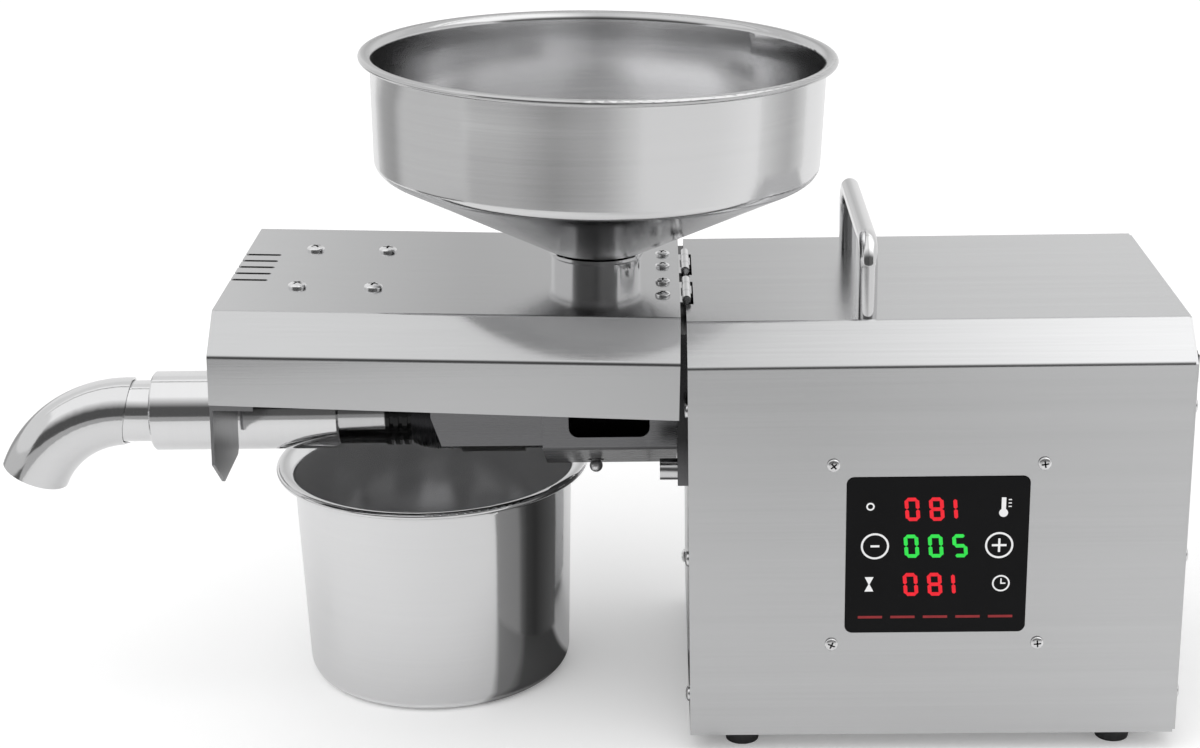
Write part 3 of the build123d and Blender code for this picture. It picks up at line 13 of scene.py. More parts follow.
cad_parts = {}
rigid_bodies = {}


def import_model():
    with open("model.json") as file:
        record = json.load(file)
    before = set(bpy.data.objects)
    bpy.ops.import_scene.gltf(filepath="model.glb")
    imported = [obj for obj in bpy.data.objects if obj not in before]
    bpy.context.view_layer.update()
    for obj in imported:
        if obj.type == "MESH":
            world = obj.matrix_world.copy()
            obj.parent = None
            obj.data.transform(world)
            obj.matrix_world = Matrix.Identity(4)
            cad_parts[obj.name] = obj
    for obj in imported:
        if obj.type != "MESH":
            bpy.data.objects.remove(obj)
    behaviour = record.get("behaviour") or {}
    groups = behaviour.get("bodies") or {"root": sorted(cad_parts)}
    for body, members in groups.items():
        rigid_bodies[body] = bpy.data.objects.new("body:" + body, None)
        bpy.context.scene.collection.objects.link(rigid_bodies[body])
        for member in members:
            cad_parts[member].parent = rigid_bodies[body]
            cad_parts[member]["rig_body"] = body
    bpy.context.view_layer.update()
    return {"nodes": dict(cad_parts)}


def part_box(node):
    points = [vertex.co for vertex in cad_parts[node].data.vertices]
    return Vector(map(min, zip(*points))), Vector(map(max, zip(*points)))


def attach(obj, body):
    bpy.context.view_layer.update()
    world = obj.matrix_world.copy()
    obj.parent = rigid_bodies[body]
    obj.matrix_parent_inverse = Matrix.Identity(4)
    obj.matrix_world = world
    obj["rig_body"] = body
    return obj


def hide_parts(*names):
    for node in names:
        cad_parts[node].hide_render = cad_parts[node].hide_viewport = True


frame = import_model()

# Camera: a long lens before the press and a little above it, looking down on the head and the panel.
# Its place, taken from the casing's left face, and its three turns put the casing's corners in the frame.
camera_left_of_casing = 0.009967
camera_before = 0.90485
camera_height = 0.439
camera_place = Vector((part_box("casing_wrap")[0].x - camera_left_of_casing, -camera_before, camera_height))
camera_yaw = math.radians(1.587)
camera_pitch = math.radians(18.60)
camera_roll = math.radians(-1.156)
photo_width = 1200
focal_pixels = 2327.5
sensor_width = 36.0

ahead = Vector((
    -math.sin(camera_yaw) * math.cos(camera_pitch),
    math.cos(camera_yaw) * math.cos(camera_pitch),
    -math.sin(camera_pitch),
))
level_right = Vector((math.cos(camera_yaw), math.sin(camera_yaw), 0))
level_up = level_right.cross(ahead)
rolled_right = math.cos(camera_roll) * level_right + math.sin(camera_roll) * level_up
rolled_up = math.cos(camera_roll) * level_up - math.sin(camera_roll) * level_right
lens = bpy.data.cameras.new("lens")
lens.sensor_width = sensor_width
lens.lens = focal_pixels / photo_width * sensor_width
camera = bpy.data.objects.new("camera", lens)
camera.matrix_world = Matrix.Translation(camera_place) @ Matrix(
    (rolled_right, rolled_up, -ahead)
).transposed().to_4x4()
bpy.context.scene.collection.objects.link(camera)
bpy.context.scene.camera = camera
bpy.context.scene.view_settings.view_transform = "Standard"


# Studio: white paper under and behind the press, an even soft sky and one broad lamp over the front.
# A canopy and some cards that only reflections see give the polished steel its bands.
class Wire:
    """A node socket that can be used in arithmetic: each operator adds a Math node to its tree."""

    def __init__(self, tree, socket=None):
        self.tree = tree
        self.socket = socket

    def add(self, kind, settings=None, sockets=None, out=0):
        """Add a node of any kind: its settings first, then the values or wires of its sockets."""
        node = self.tree.nodes.new(kind)
        for name, value in (settings or {}).items():
            setattr(node, name, value)
        for key, value in (sockets or {}).items():
            for one in value if isinstance(value, list) else [value]:
                if isinstance(one, Wire):
                    self.tree.links.new(one.socket, node.inputs[key])
                else:
                    node.inputs[key].default_value = one
        return Wire(self.tree, node.outputs[out]) if node.outputs else None

    def maths(self, operation, first, second=0.0):
        """One Math node."""
        return self.add("ShaderNodeMath", {"operation": operation}, {0: first, 1: second})

    def held(self):
        """The same value, kept between 0 and 1."""
        return self.add("ShaderNodeClamp", sockets={"Value": self})

    def part(self, axis):
        """One part of a vector: X, Y or Z."""
        return self.add("ShaderNodeSeparateXYZ", sockets={0: self}, out=axis)

    def __add__(self, other):
        return self.maths("ADD", self, other)

    __radd__ = __add__

    def __sub__(self, other):
        return self.maths("SUBTRACT", self, other)

    def __rsub__(self, other):
        return self.maths("SUBTRACT", other, self)

    def __mul__(self, other):
        return self.maths("MULTIPLY", self, other)

    __rmul__ = __mul__

    def __truediv__(self, other):
        return self.maths("DIVIDE", self, other)

    def __rtruediv__(self, other):
        return self.maths("DIVIDE", other, self)


def empty_finish(name):
    """A new material with nothing in its tree, and a wire to build it with."""
    finish = bpy.data.materials.new(name)
    finish.use_nodes = True
    finish.node_tree.nodes.clear()
    return finish, Wire(finish.node_tree)


def placed(name, mesh, finish):
    """An object at the origin for a mesh that is already in its place."""
    piece = bpy.data.objects.new(name, mesh)
    piece.data.materials.clear()
    piece.data.materials.append(finish)
    bpy.context.scene.collection.objects.link(piece)
    return piece


paper_half = 9.0
paper_colour = (0.9, 0.9, 0.9, 1.0)
paper_lift = 0.20
mirrored_near = 0.12
mirrored_far = 0.45
mirrored_fall = 0.13
mirrored_dip = 0.17
dip_middle = 0.11
dip_half = 0.20
pot_low, pot_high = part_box("oil_pot")
pot_radius = (pot_high.y - pot_low.y) / 2
pot_x = (pot_high.x + pot_low.x) / 2
pot_y = (pot_high.y + pot_low.y) / 2
flag_x = 0.030
flag_shares = (-1.36, 0.1)
dark_share = -0.76
patch_grey = 0.66
patch_dark = 0.86
patch_edge = 0.006
patch_past_flag = 0.03
patch_slant = 0.61
patch_front = -0.56
front_softness = 1 / 12
side_softness = 0.1
paper, tree = empty_finish("white_paper")
seen = tree.add("ShaderNodeLightPath", out="Is Camera Ray")
mirrored = tree.add("ShaderNodeLightPath", out="Is Glossy Ray")
place = tree.add("ShaderNodeTexCoord", out="Object")
# In reflections the paper dims away from the press, and a patch beside the pot carries on the dark flag.
far = ((-mirrored_near - place.part("Y")) / (mirrored_far - mirrored_near)).held()
dip = (1 - tree.maths("ABSOLUTE", place.part("X") - dip_middle) / dip_half).held()
right_of_pot = place.part("X") - pot_x
left_of_stop = flag_x + patch_past_flag - place.part("X")
beside = (right_of_pot / patch_edge).held() * (left_of_stop / patch_edge).held()
before = (place.part("Y") - pot_y) / pot_radius
slanted = before + right_of_pot * (patch_slant / pot_radius)
dark_part = ((before - dark_share) / side_softness).held()
grey_part = ((slanted - patch_front) / front_softness).held() * (1 - dark_part)
behind_stop = ((flag_shares[1] - before) / side_softness).held()
patch = beside * behind_stop * (patch_grey * grey_part + patch_dark * dark_part)
dimmed = mirrored * (far * (mirrored_fall + mirrored_dip * dip) + patch)
shade = tree.add(
    "ShaderNodeMix", {"data_type": "RGBA"}, {0: dimmed, 6: paper_colour, 7: (0, 0, 0, 1)}, out=2
)
matt = tree.add("ShaderNodeBsdfDiffuse", sockets={"Color": shade})
lift = tree.add("ShaderNodeEmission", sockets={"Strength": seen * paper_lift})
both = tree.add("ShaderNodeAddShader", sockets={0: matt, 1: lift})
tree.add("ShaderNodeOutputMaterial", sockets={"Surface": both})
sheet_mesh = bpy.data.meshes.new("floor_paper")
sheet_mesh.from_pydata(
    [(x * paper_half, y * paper_half, 0.0) for x, y in ((-1, -1), (1, -1), (1, 1), (-1, 1))],
    [], [(0, 1, 2, 3)],
)
placed("floor_paper", sheet_mesh, paper)

sky_level = 0.72
mirrored_level = 0.79
sky = bpy.data.worlds.new("soft_sky")
bpy.context.scene.world = sky
sky.use_nodes = True
sky.node_tree.nodes.clear()
tree = Wire(sky.node_tree)
seen = tree.add("ShaderNodeLightPath", out="Is Camera Ray")
mirrored = tree.add("ShaderNodeLightPath", out="Is Glossy Ray")
glow = sky_level + (1.0 - sky_level) * seen + (mirrored_level - sky_level) * mirrored
even = tree.add("ShaderNodeBackground", sockets={"Color": (1, 1, 1, 1), "Strength": glow})
tree.add("ShaderNodeOutputWorld", sockets={"Surface": even})

key_strength = 1.05
key_spread = math.radians(70)
key_tilt = math.radians(24)
key_turn = math.radians(-14)
key_lamp = bpy.data.lights.new("key_lamp", "SUN")
key_lamp.energy = key_strength
key_lamp.angle = key_spread
key = bpy.data.objects.new("key_lamp", key_lamp)
key.rotation_euler = (key_tilt, key_turn, 0)
key.visible_glossy = False
bpy.context.scene.collection.objects.link(key)


def graded(value, levels):
    """A level that runs straight from each of the given pairs to the next."""
    level = levels[0][1]
    for (first, low), (second, high) in zip(levels, levels[1:]):
        level = level + ((value - first) / (second - first)).held() * (high - low)
    return level


def reflector(name, corners, level_of):
    """A strip of the studio that only reflections see, from pairs of corners along it."""
    finish, tree = empty_finish(name)
    place = tree.add("ShaderNodeTexCoord", out="Object")
    glow = tree.add("ShaderNodeEmission", sockets={"Strength": level_of(place)})
    tree.add("ShaderNodeOutputMaterial", sockets={"Surface": glow})
    mesh = bpy.data.meshes.new(name)
    steps = len(corners) // 2 - 1
    mesh.from_pydata(corners, [], [(2 * s, 2 * s + 1, 2 * s + 3, 2 * s + 2) for s in range(steps)])
    piece = placed(name, mesh, finish)
    piece.visible_camera = False
    piece.visible_diffuse = False
    piece.visible_shadow = False
    piece.visible_transmission = False


canopy_radius = 2.2
canopy_half = 3.2
canopy_stop = 118
canopy_steps = 59
canopy_heights = ((30, 0.10), (60, 1.12), (107.4, 1.12), (107.6, 0.25), (110.4, 0.25), (110.6, 1.12))
canopy_sides = ((-0.3, 0.93), (0.1, 0.76), (0.65, 1.42))


def canopy_level(place):
    """Dark low before the press, light overhead, with a thin dark seam behind."""
    height = place.maths("ARCTAN2", place.part("Z"), 0 - place.part("Y")) * math.degrees(1)
    return graded(height, canopy_heights) * graded(place.part("X"), canopy_sides)


canopy_corners = []
for step in range(canopy_steps + 1):
    bend = math.radians(canopy_stop * step / canopy_steps)
    for x in (-canopy_half, canopy_half):
        canopy_corners.append((x, -canopy_radius * math.cos(bend), canopy_radius * math.sin(bend)))
reflector("canopy", canopy_corners, canopy_level)

card_radius = 0.62
card_steps = 24


def card(name, rise, levels):
    """A curved card round the press: its rise, and its level at some bearings in degrees from the front."""
    corners = []
    for step in range(card_steps + 1):
        turn = math.radians(levels[0][0] + (levels[-1][0] - levels[0][0]) * step / card_steps)
        corners += [(card_radius * math.sin(turn), -card_radius * math.cos(turn), z) for z in (0.0, rise)]

    def card_level(place):
        """The level at the bearing of a place."""
        bearing = place.maths("ARCTAN2", place.part("X"), 0 - place.part("Y")) * math.degrees(1)
        return graded(bearing, levels)

    reflector(name, corners, card_level)


card("left_card", 0.17, ((-142, 0.72), (-130, 0.42), (-117, 0.36), (-108, 0.60), (-64, 0.60)))
card("front_card", 0.125, ((-64, 0.60), (-60, 0.48), (-40, 0.46), (-18, 0.30), (4, 0.44), (22, 0.76)))
card("right_card", 0.17, ((84, 0.78), (98, 0.58), (107, 0.50), (122, 0.78)))

back_distance = 1.5
back_half = 1.6
back_rise = 1.4
back_levels = ((-0.5, 0.88), (-0.14, 0.58), (0.13, 0.67), (0.3, 0.81), (0.5, 0.87))
reflector(
    "back_card", [(x, back_distance, z) for x in (-back_half, back_half) for z in (0.0, back_rise)],
    lambda place: graded(place.part("X"), back_levels),
)

flag_foot = 0.001
flag_rise = 0.11
flag_levels = ((-1.36, 0.26), (-0.82, 0.22), (-0.74, 0.10), (-0.62, 0.045), (-0.45, 0.03), (0.0, 0.09))
reflector(
    "dark_flag",
    [(flag_x, pot_y + share * pot_radius, z) for share in flag_shares for z in (flag_foot, flag_rise)],
    lambda place: graded((place.part("Y") - pot_y) / pot_radius, flag_levels),
)

left_x = -0.42
left_span = (-0.20, 0.06)
left_levels = ((0.040, 0.70), (0.050, 0.10), (0.084, 0.10), (0.094, 0.70))
reflector(
    "left_flag", [(left_x, y, z) for y in left_span for z in (left_levels[0][0], left_levels[-1][0])],
    lambda place: graded(place.part("Z"), left_levels),
)


# Base plate, rubber feet and their screws: a folded steel floor on four turned rubber buffers,
# each held by a screw from below.
weld_distance = 2e-6


def welded(name, node, crease):
    """A welded copy of a node's mesh, smooth between its creases."""
    shape = bmesh.new()
    shape.from_mesh(frame["nodes"][node].data)
    bmesh.ops.remove_doubles(shape, verts=shape.verts, dist=weld_distance)
    shape.verts.index_update()
    mesh = bpy.data.meshes.new(name)
    mesh.from_pydata(
        [vert.co[:] for vert in shape.verts], [],
        [[vert.index for vert in face.verts] for face in shape.faces],
    )
    shape.free()
    mesh.polygons.foreach_set("use_smooth", [True] * len(mesh.polygons))
    mesh.set_sharp_from_angle(angle=math.radians(crease))
    return mesh


def applied(piece):
    """Turn an object with modifiers into a plain mesh."""
    graph = bpy.context.evaluated_depsgraph_get()
    mesh = bpy.data.meshes.new_from_object(piece.evaluated_get(graph), depsgraph=graph)
    piece.modifiers.clear()
    piece.data = mesh
    return mesh


def stands_for(piece, node):
    """Put a finished piece in the place of a node."""
    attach(piece, frame["nodes"][node]["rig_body"])
    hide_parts(node)


def dress(node, finish, crease=30, flat_faces=True):
    """Stand a welded, smooth copy in a finish in the place of a node. A spun piece has no flat faces."""
    piece = placed(f"{node}_finish", welded(f"{node}_finish", node, crease), finish)
    if flat_faces:
        weighted = piece.modifiers.new("flat faces", "WEIGHTED_NORMAL")
        weighted.keep_sharp = True
        applied(piece)
    stands_for(piece, node)


def steel(name, tone, roughness, grain, streak=0.10, cloud=0.05, relief=0.05, metallic=1.0, other=None):
    """Bare steel: streaks stretched by the grain in its tone, gloss and relief, and faint soft clouds.

    Another part of it may look different, whether by its own colour or by painted shade and light: a mask
    from the place, a share of the tone, and how metallic.
    """
    broad_scale = 0.16
    cloud_scale = 14.0
    fine_share = 0.7
    streak_gloss = 0.5
    cloud_gloss = 0.25
    relief_depth = 0.0004
    bare_shine = 0.1
    finish, tree = empty_finish(name)
    place = tree.add("ShaderNodeTexCoord", out="Object")
    stretched = tree.add("ShaderNodeVectorMath", {"operation": "MULTIPLY"}, {0: place, 1: grain})
    fine = tree.add(
        "ShaderNodeTexNoise", sockets={"Vector": stretched, "Scale": 1.0, "Detail": 4.0, "Roughness": 0.65}
    )
    broad = tree.add("ShaderNodeTexNoise", sockets={"Vector": stretched, "Scale": broad_scale, "Detail": 2.0})
    soft = tree.add("ShaderNodeTexNoise", sockets={"Vector": place, "Scale": cloud_scale, "Detail": 2.0})
    spread = streak + cloud
    lines = fine_share * fine + (1 - fine_share) * broad
    shade = 0.5 + (lines - 0.5) * (streak / spread) + (soft - 0.5) * (cloud / spread)
    dark = (*(channel * (1 - spread) for channel in tone), 1.0)
    light = (*(min(1.0, channel * (1 + spread)) for channel in tone), 1.0)
    colour = tree.add("ShaderNodeMix", {"data_type": "RGBA"}, {0: shade, 6: dark, 7: light}, out=2)
    if other:
        mask, share, other_metallic = other
        there = mask(place)
        other_tone = (*(channel * share for channel in tone), 1.0)
        colour = tree.add("ShaderNodeMix", {"data_type": "RGBA"}, {0: there, 6: colour, 7: other_tone}, out=2)
        metallic = metallic + (other_metallic - metallic) * there
    gloss = roughness + (fine - 0.5) * (roughness * streak_gloss) + (soft - 0.5) * (roughness * cloud_gloss)
    bump = tree.add("ShaderNodeBump", sockets={"Strength": relief, "Distance": relief_depth, "Height": fine})
    metal = tree.add(
        "ShaderNodeBsdfPrincipled",
        sockets={
            "Base Color": colour, "Metallic": metallic, "Roughness": gloss, "Normal": bump,
            "Specular IOR Level": bare_shine,
        },
    )
    tree.add("ShaderNodeOutputMaterial", sockets={"Surface": metal})
    return finish


def moulded(name, tone, roughness, grain_size=0.0006, relief=0.15, shine=0.5):
    """Moulded plastic or rubber: a fine pebbled grain and a little unevenness of gloss."""
    pebble_scale = 1 / grain_size
    pebble_depth = 0.0002
    uneven_scale = 60.0
    darker = 0.8
    lighter = 1.25
    uneven_gloss = 0.15
    finish, tree = empty_finish(name)
    place = tree.add("ShaderNodeTexCoord", out="Object")
    pebbles = tree.add("ShaderNodeTexNoise", sockets={"Vector": place, "Scale": pebble_scale, "Detail": 2.0})
    soft = tree.add("ShaderNodeTexNoise", sockets={"Vector": place, "Scale": uneven_scale, "Detail": 3.0})
    dark = (*(channel * darker for channel in tone), 1.0)
    light = (*(min(1.0, channel * lighter) for channel in tone), 1.0)
    colour = tree.add("ShaderNodeMix", {"data_type": "RGBA"}, {0: soft, 6: dark, 7: light}, out=2)
    gloss = roughness + (soft - 0.5) * uneven_gloss
    bump = tree.add(
        "ShaderNodeBump", sockets={"Strength": relief, "Distance": pebble_depth, "Height": pebbles}
    )
    skin = tree.add(
        "ShaderNodeBsdfPrincipled",
        sockets={"Base Color": colour, "Roughness": gloss, "Normal": bump, "Specular IOR Level": shine},
    )
    tree.add("ShaderNodeOutputMaterial", sockets={"Surface": skin})
    return finish


along_x = (9.0, 1300.0, 1300.0)
no_grain = (220.0, 220.0, 220.0)
casing_tone = (0.600, 0.602, 0.607)
casing_steel = steel("casing_steel", casing_tone, 0.21, along_x, streak=0.11, cloud=0.02, relief=0.03)
foot_rubber = moulded("foot_rubber", (0.018, 0.018, 0.019), 0.6)
screw_steel = steel("screw_steel", (0.66, 0.66, 0.67), 0.2, no_grain, relief=0.02)
dress("base_plate", casing_steel)
dress("rubber_feet", foot_rubber)
dress("foot_screws", screw_steel)

# Casing: front, bevels, top and back are one brushed stainless sheet, folded round the drive.
# The left end plate stands inside its edges and the right one over them.
along_y = (1300.0, 9.0, 1300.0)
end_steel = steel("end_steel", casing_tone, 0.24, along_y, streak=0.10, cloud=0.02, relief=0.03)
dress("casing_wrap", casing_steel)
dress("casing_left_end", end_steel)
dress("casing_right_end", end_steel)

# Motor and gear train: cut steel gears and shafts between two steel plates, in bronze bushes,
# turned by a ribbed motor with a slotted armature.
drive_steel = steel("drive_steel", (0.5, 0.5, 0.5), 0.34, no_grain)
plate_steel = steel("plate_steel", (0.48, 0.49, 0.5), 0.42, along_y)
motor_iron = steel("motor_iron", (0.09, 0.09, 0.095), 0.5, no_grain, metallic=0.6)
bush_bronze = steel("bush_bronze", (0.62, 0.40, 0.20), 0.33, no_grain)
for node in (
    "output_shaft", "output_gear", "idler_shaft", "idler_gear", "idler_pinion", "motor_shaft", "motor_pinion",
    "gearbox_bearings", "gearbox_spacers", "press_worm",
):
    dress(node, drive_steel)
for node in ("gearbox_front_plate", "gearbox_rear_plate"):
    dress(node, plate_steel)
for node in ("motor_body", "motor_armature"):
    dress(node, motor_iron)

# Control board, fan, inlet and rocker switches: bought parts of moulded plastic on the right end,
# with the control board on stand-offs on the back wall.
black_plastic = moulded("black_plastic", (0.022, 0.022, 0.023), 0.42)
rocker_black = moulded("rocker_black", (0.02, 0.02, 0.02), 0.28, relief=0.05)
board_green = moulded("board_green", (0.03, 0.16, 0.06), 0.4, relief=0.05)
contact_brass = steel("contact_brass", (0.70, 0.55, 0.28), 0.3, no_grain)
for node in ("control_board", "display_board"):
    dress(node, board_green)
for node in ("board_standoffs", "fan_frame", "fan_rotor", "power_inlet", "switch_bodies", "display_frame"):
    dress(node, black_plastic)
for node in ("motor_rocker", "power_rocker"):
    dress(node, rocker_black)
dress("inlet_pins", contact_brass)

# Display: a black glossy panel let into the casing front, with lit digits that show through its face,
# printed white signs and two touch keys in rings.
panel_gloss = moulded("panel_gloss", (0.0055, 0.0055, 0.006), 0.2, relief=0.0, shine=0.1)
dress("display_panel", panel_gloss)
digit_lens = moulded("digit_lens", (0.25, 0.02, 0.02), 0.3)
dress("led_digits", digit_lens)


def lit(name, colour, edge):
    """A lit or printed mark: its own colour, given off as light and a little uneven over a millimetre or two;
    on a printed mark this glow is painted light.
    """
    uneven_scale = 600.0
    finish, tree = empty_finish(name)
    place = tree.add("ShaderNodeTexCoord", out="Object")
    uneven = tree.add("ShaderNodeTexNoise", sockets={"Vector": place, "Scale": uneven_scale, "Detail": 1.0})
    glow = tree.add("ShaderNodeMix", {"data_type": "RGBA"}, {0: uneven, 6: edge, 7: colour}, out=2)
    face = tree.add("ShaderNodeBsdfPrincipled", sockets={
        "Base Color": (0.02, 0.02, 0.02, 1), "Roughness": 0.4, "Specular IOR Level": 0.1,
        "Emission Color": glow, "Emission Strength": 1.0,
    })
    tree.add("ShaderNodeOutputMaterial", sockets={"Surface": face})
    return finish


def recipe(name, inputs):
    """An empty Geometry Nodes tree with named inputs, and wires from them to build it with."""
    group = bpy.data.node_groups.new(name, "GeometryNodeTree")
    group.interface.new_socket("Geometry", in_out="INPUT", socket_type="NodeSocketGeometry")
    for label, kind in inputs:
        group.interface.new_socket(label, in_out="INPUT", socket_type=kind)
    group.interface.new_socket("Geometry", in_out="OUTPUT", socket_type="NodeSocketGeometry")
    source = group.nodes.new("NodeGroupInput")
    return group, {socket.name: Wire(group, socket) for socket in source.outputs if socket.name}


def set_out(name, group, spots, marks, values):
    """Run a tree on one point for each spot, and keep the result as a plain mesh."""
    mesh = bpy.data.meshes.new(name)
    mesh.from_pydata(spots, [], [])
    for label, vectors in marks.items():
        layer = mesh.attributes.new(label, "FLOAT_VECTOR", "POINT")
        layer.data.foreach_set("vector", [number for vector in vectors for number in vector])
    piece = bpy.data.objects.new(name, mesh)
    bpy.context.scene.collection.objects.link(piece)
    run = piece.modifiers.new(name, "NODES")
    run.node_group = group
    for socket in group.interface.items_tree:
        if socket.in_out == "INPUT" and socket.name in values:
            run[socket.identifier] = values[socket.name]
    applied(piece)
    return piece


bar_group, given = recipe("lit_bars", (("Point Share", "NodeSocketFloat"), ("Finish", "NodeSocketMaterial")))
tree = Wire(bar_group)
prism = tree.add(
    "GeometryNodeMeshCylinder", {"fill_type": "NGON"}, {"Vertices": 6, "Radius": 0.5, "Depth": 1.0}
)
hexagon_half = math.sqrt(0.75)
corner = tree.add("GeometryNodeInputPosition")
across = corner.part("X")
shoulder = (0.5 - tree.maths("ABSOLUTE", across)) * 4 * given["Point Share"]
pointed = tree.maths("SIGN", across) * (0.5 - shoulder)
hexagon = tree.add(
    "ShaderNodeCombineXYZ", sockets={0: pointed, 1: corner.part("Y") / hexagon_half, 2: corner.part("Z")}
)
bar = tree.add("GeometryNodeSetPosition", sockets={"Geometry": prism, "Position": hexagon})
size_mark = tree.add("GeometryNodeInputNamedAttribute", {"data_type": "FLOAT_VECTOR"}, {"Name": "bar_size"})
turn_mark = tree.add("GeometryNodeInputNamedAttribute", {"data_type": "FLOAT_VECTOR"}, {"Name": "bar_turn"})
row_of_bars = tree.add(
    "GeometryNodeInstanceOnPoints",
    sockets={"Points": given["Geometry"], "Instance": bar, "Rotation": turn_mark, "Scale": size_mark},
)
real = tree.add("GeometryNodeRealizeInstances", sockets={"Geometry": row_of_bars})
painted = tree.add("GeometryNodeSetMaterial", sockets={"Geometry": real, "Material": given["Finish"]})
tree.add("NodeGroupOutput", sockets={0: painted})

panel_low, panel_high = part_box("display_panel")
panel_middle = (panel_low + panel_high) / 2
mark_depth = 0.00012
mark_sink = 0.00001
digit_width = 0.0056
digit_height = 0.0096
digit_stroke = 0.00145
digit_slant = math.radians(5)
bar_share = 0.97
bar_point = 0.14
digit_columns = (-0.0098, -0.0005, 0.0088)
bars_of = {"0": "abcdef", "1": "ef", "5": "acdfg", "8": "abcdefg"}
bar_places = {
    "a": (0, 0.5, 0), "b": (0.5, 0.25, 90), "c": (0.5, -0.25, 90), "d": (0, -0.5, 0),
    "e": (-0.5, -0.25, 90), "f": (-0.5, 0.25, 90), "g": (0, 0, 0),
}


def on_panel(x, z, depth=0.5):
    """A point on the panel's face, from its middle; depth 0 lies in the face and 1 stands proud of it."""
    return Vector((panel_middle.x + x, panel_low.y + mark_sink - depth * mark_depth, panel_middle.z + z))


def digit_row(name, digits, level, finish):
    """A row of seven-bar digits, leaning a little."""
    spots, sizes, turns = [], [], []
    wide = digit_width - digit_stroke
    tall = digit_height - digit_stroke
    for middle, digit in zip(digit_columns, digits):
        for letter in bars_of[digit]:
            x, z, turned = bar_places[letter]
            spots.append(on_panel(middle + x * wide - z * tall * math.tan(digit_slant), level + z * tall))
            sizes.append((bar_share * (tall / 2 if turned else wide), digit_stroke, mark_depth))
            lean = digit_slant if turned else 0.0
            turns.append((math.radians(90), -math.radians(turned) - lean, 0))
    piece = set_out(
        name, bar_group, spots, {"bar_size": sizes, "bar_turn": turns},
        {"Point Share": bar_point, "Finish": finish},
    )
    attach(piece, "press")


red_glow = lit("red_glow", (1.0, 0.012, 0.03, 1), (0.75, 0.006, 0.018, 1))
green_glow = lit("green_glow", (0.03, 0.9, 0.09, 1), (0.015, 0.62, 0.05, 1))
# The white print glows by itself: painted light.
white_print_glow = lit("white_print_glow", (0.9, 0.9, 0.9, 1), (0.74, 0.74, 0.75, 1))
digit_row("upper_digits", "081", 0.01925, red_glow)
digit_row("middle_digits", "005", 0.0040, green_glow)
digit_row("lower_digits", "081", -0.0120, red_glow)

ring_steps = 48


def on_circle(x, z, radius, steps):
    """The points of a circle."""
    turns = [2 * math.pi * step / steps for step in range(steps)]
    return [(x + radius * math.cos(turn), z + radius * math.sin(turn)) for turn in turns]


def add_ring(shape, x, z, outer, inner):
    """A flat ring on the panel's face, closed all round."""
    loops = [
        [shape.verts.new(on_panel(*spot, depth)) for spot in on_circle(x, z, radius, ring_steps)]
        for radius, depth in ((outer, 0), (outer, 1), (inner, 1), (inner, 0))
    ]
    for first, second in zip(loops, loops[1:] + loops[:1]):
        for step in range(ring_steps):
            shape.faces.new((first[step - 1], first[step], second[step], second[step - 1]))


def add_plate(shape, outline):
    """A flat shape on the panel's face, from the points of its outline."""
    back, front = ([shape.verts.new(on_panel(*spot, depth)) for spot in outline] for depth in (0, 1))
    shape.faces.new(back)
    shape.faces.new(front)
    for step in range(len(outline)):
        shape.faces.new((back[step - 1], back[step], front[step], front[step - 1]))


def add_stroke(shape, x, z, width, height):
    """An upright bar on the panel's face."""
    ends = ((-1, -1), (1, -1), (1, 1), (-1, 1))
    add_plate(shape, [(x + i * width / 2, z + k * height / 2) for i, k in ends])


def printed(name, shape, finish):
    """Close a set of marks and put it on the press."""
    bmesh.ops.recalc_face_normals(shape, faces=shape.faces)
    mesh = bpy.data.meshes.new(name)
    shape.to_mesh(mesh)
    shape.free()
    piece = placed(name, mesh, finish)
    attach(piece, "press")


key_x = 0.0238
key_z = 0.0041
key_radius = 0.0054
key_line = 0.00075
minus_width = 0.0034
minus_height = 0.0008
plus_reach = 0.0028
plus_line = 0.15
plus_outline = (
    (-1, -plus_line), (-plus_line, -plus_line), (-plus_line, -1), (plus_line, -1),
    (plus_line, -plus_line), (1, -plus_line), (1, plus_line), (plus_line, plus_line),
    (plus_line, 1), (-plus_line, 1), (-plus_line, plus_line), (-1, plus_line),
)
signs = bmesh.new()
for side in (-1, 1):
    add_ring(signs, side * key_x, key_z, key_radius, key_radius - key_line)
add_stroke(signs, -key_x, key_z, minus_width, minus_height)
add_plate(signs, [(key_x + i * plus_reach, key_z + k * plus_reach) for i, k in plus_outline])

right_sign_x = 0.0250
left_sign_x = -0.0258
upper_z = 0.0195
lower_z = -0.0118
small_ring_rise = 0.0010
small_ring_radius = 0.0016
small_ring_hole = 0.0010
add_ring(signs, left_sign_x, upper_z + small_ring_rise, small_ring_radius, small_ring_hole)

bulb_steps = 20
bulb_drop = 0.0020
bulb_radius = 0.0017
stem_half = 0.00085
stem_top = 0.0043
tick_count = 3
tick_x = 0.0024
tick_z = 0.0006
tick_pitch = 0.0014
tick_width = 0.0012
tick_height = 0.0004
bulb_from = 120
bulb_arc = 300
bulb = [math.radians(bulb_from + bulb_arc * step / bulb_steps) for step in range(bulb_steps + 1)]
add_plate(signs, [
    (right_sign_x + bulb_radius * math.cos(turn), upper_z - bulb_drop + bulb_radius * math.sin(turn))
    for turn in bulb
] + [(right_sign_x + side * stem_half, upper_z + stem_top) for side in (1, -1)])
for tick in range(tick_count):
    add_stroke(signs, right_sign_x + tick_x, upper_z + tick_z + tick * tick_pitch, tick_width, tick_height)

clock_radius = 0.0034
clock_hole = 0.0028
hand_half = 0.00025
hand_outline = ((-1, -1), (7, -1), (7, 1), (1, 1), (1, 8), (-1, 8))
add_ring(signs, right_sign_x, lower_z, clock_radius, clock_hole)
add_plate(signs, [(right_sign_x + i * hand_half, lower_z + k * hand_half) for i, k in hand_outline])

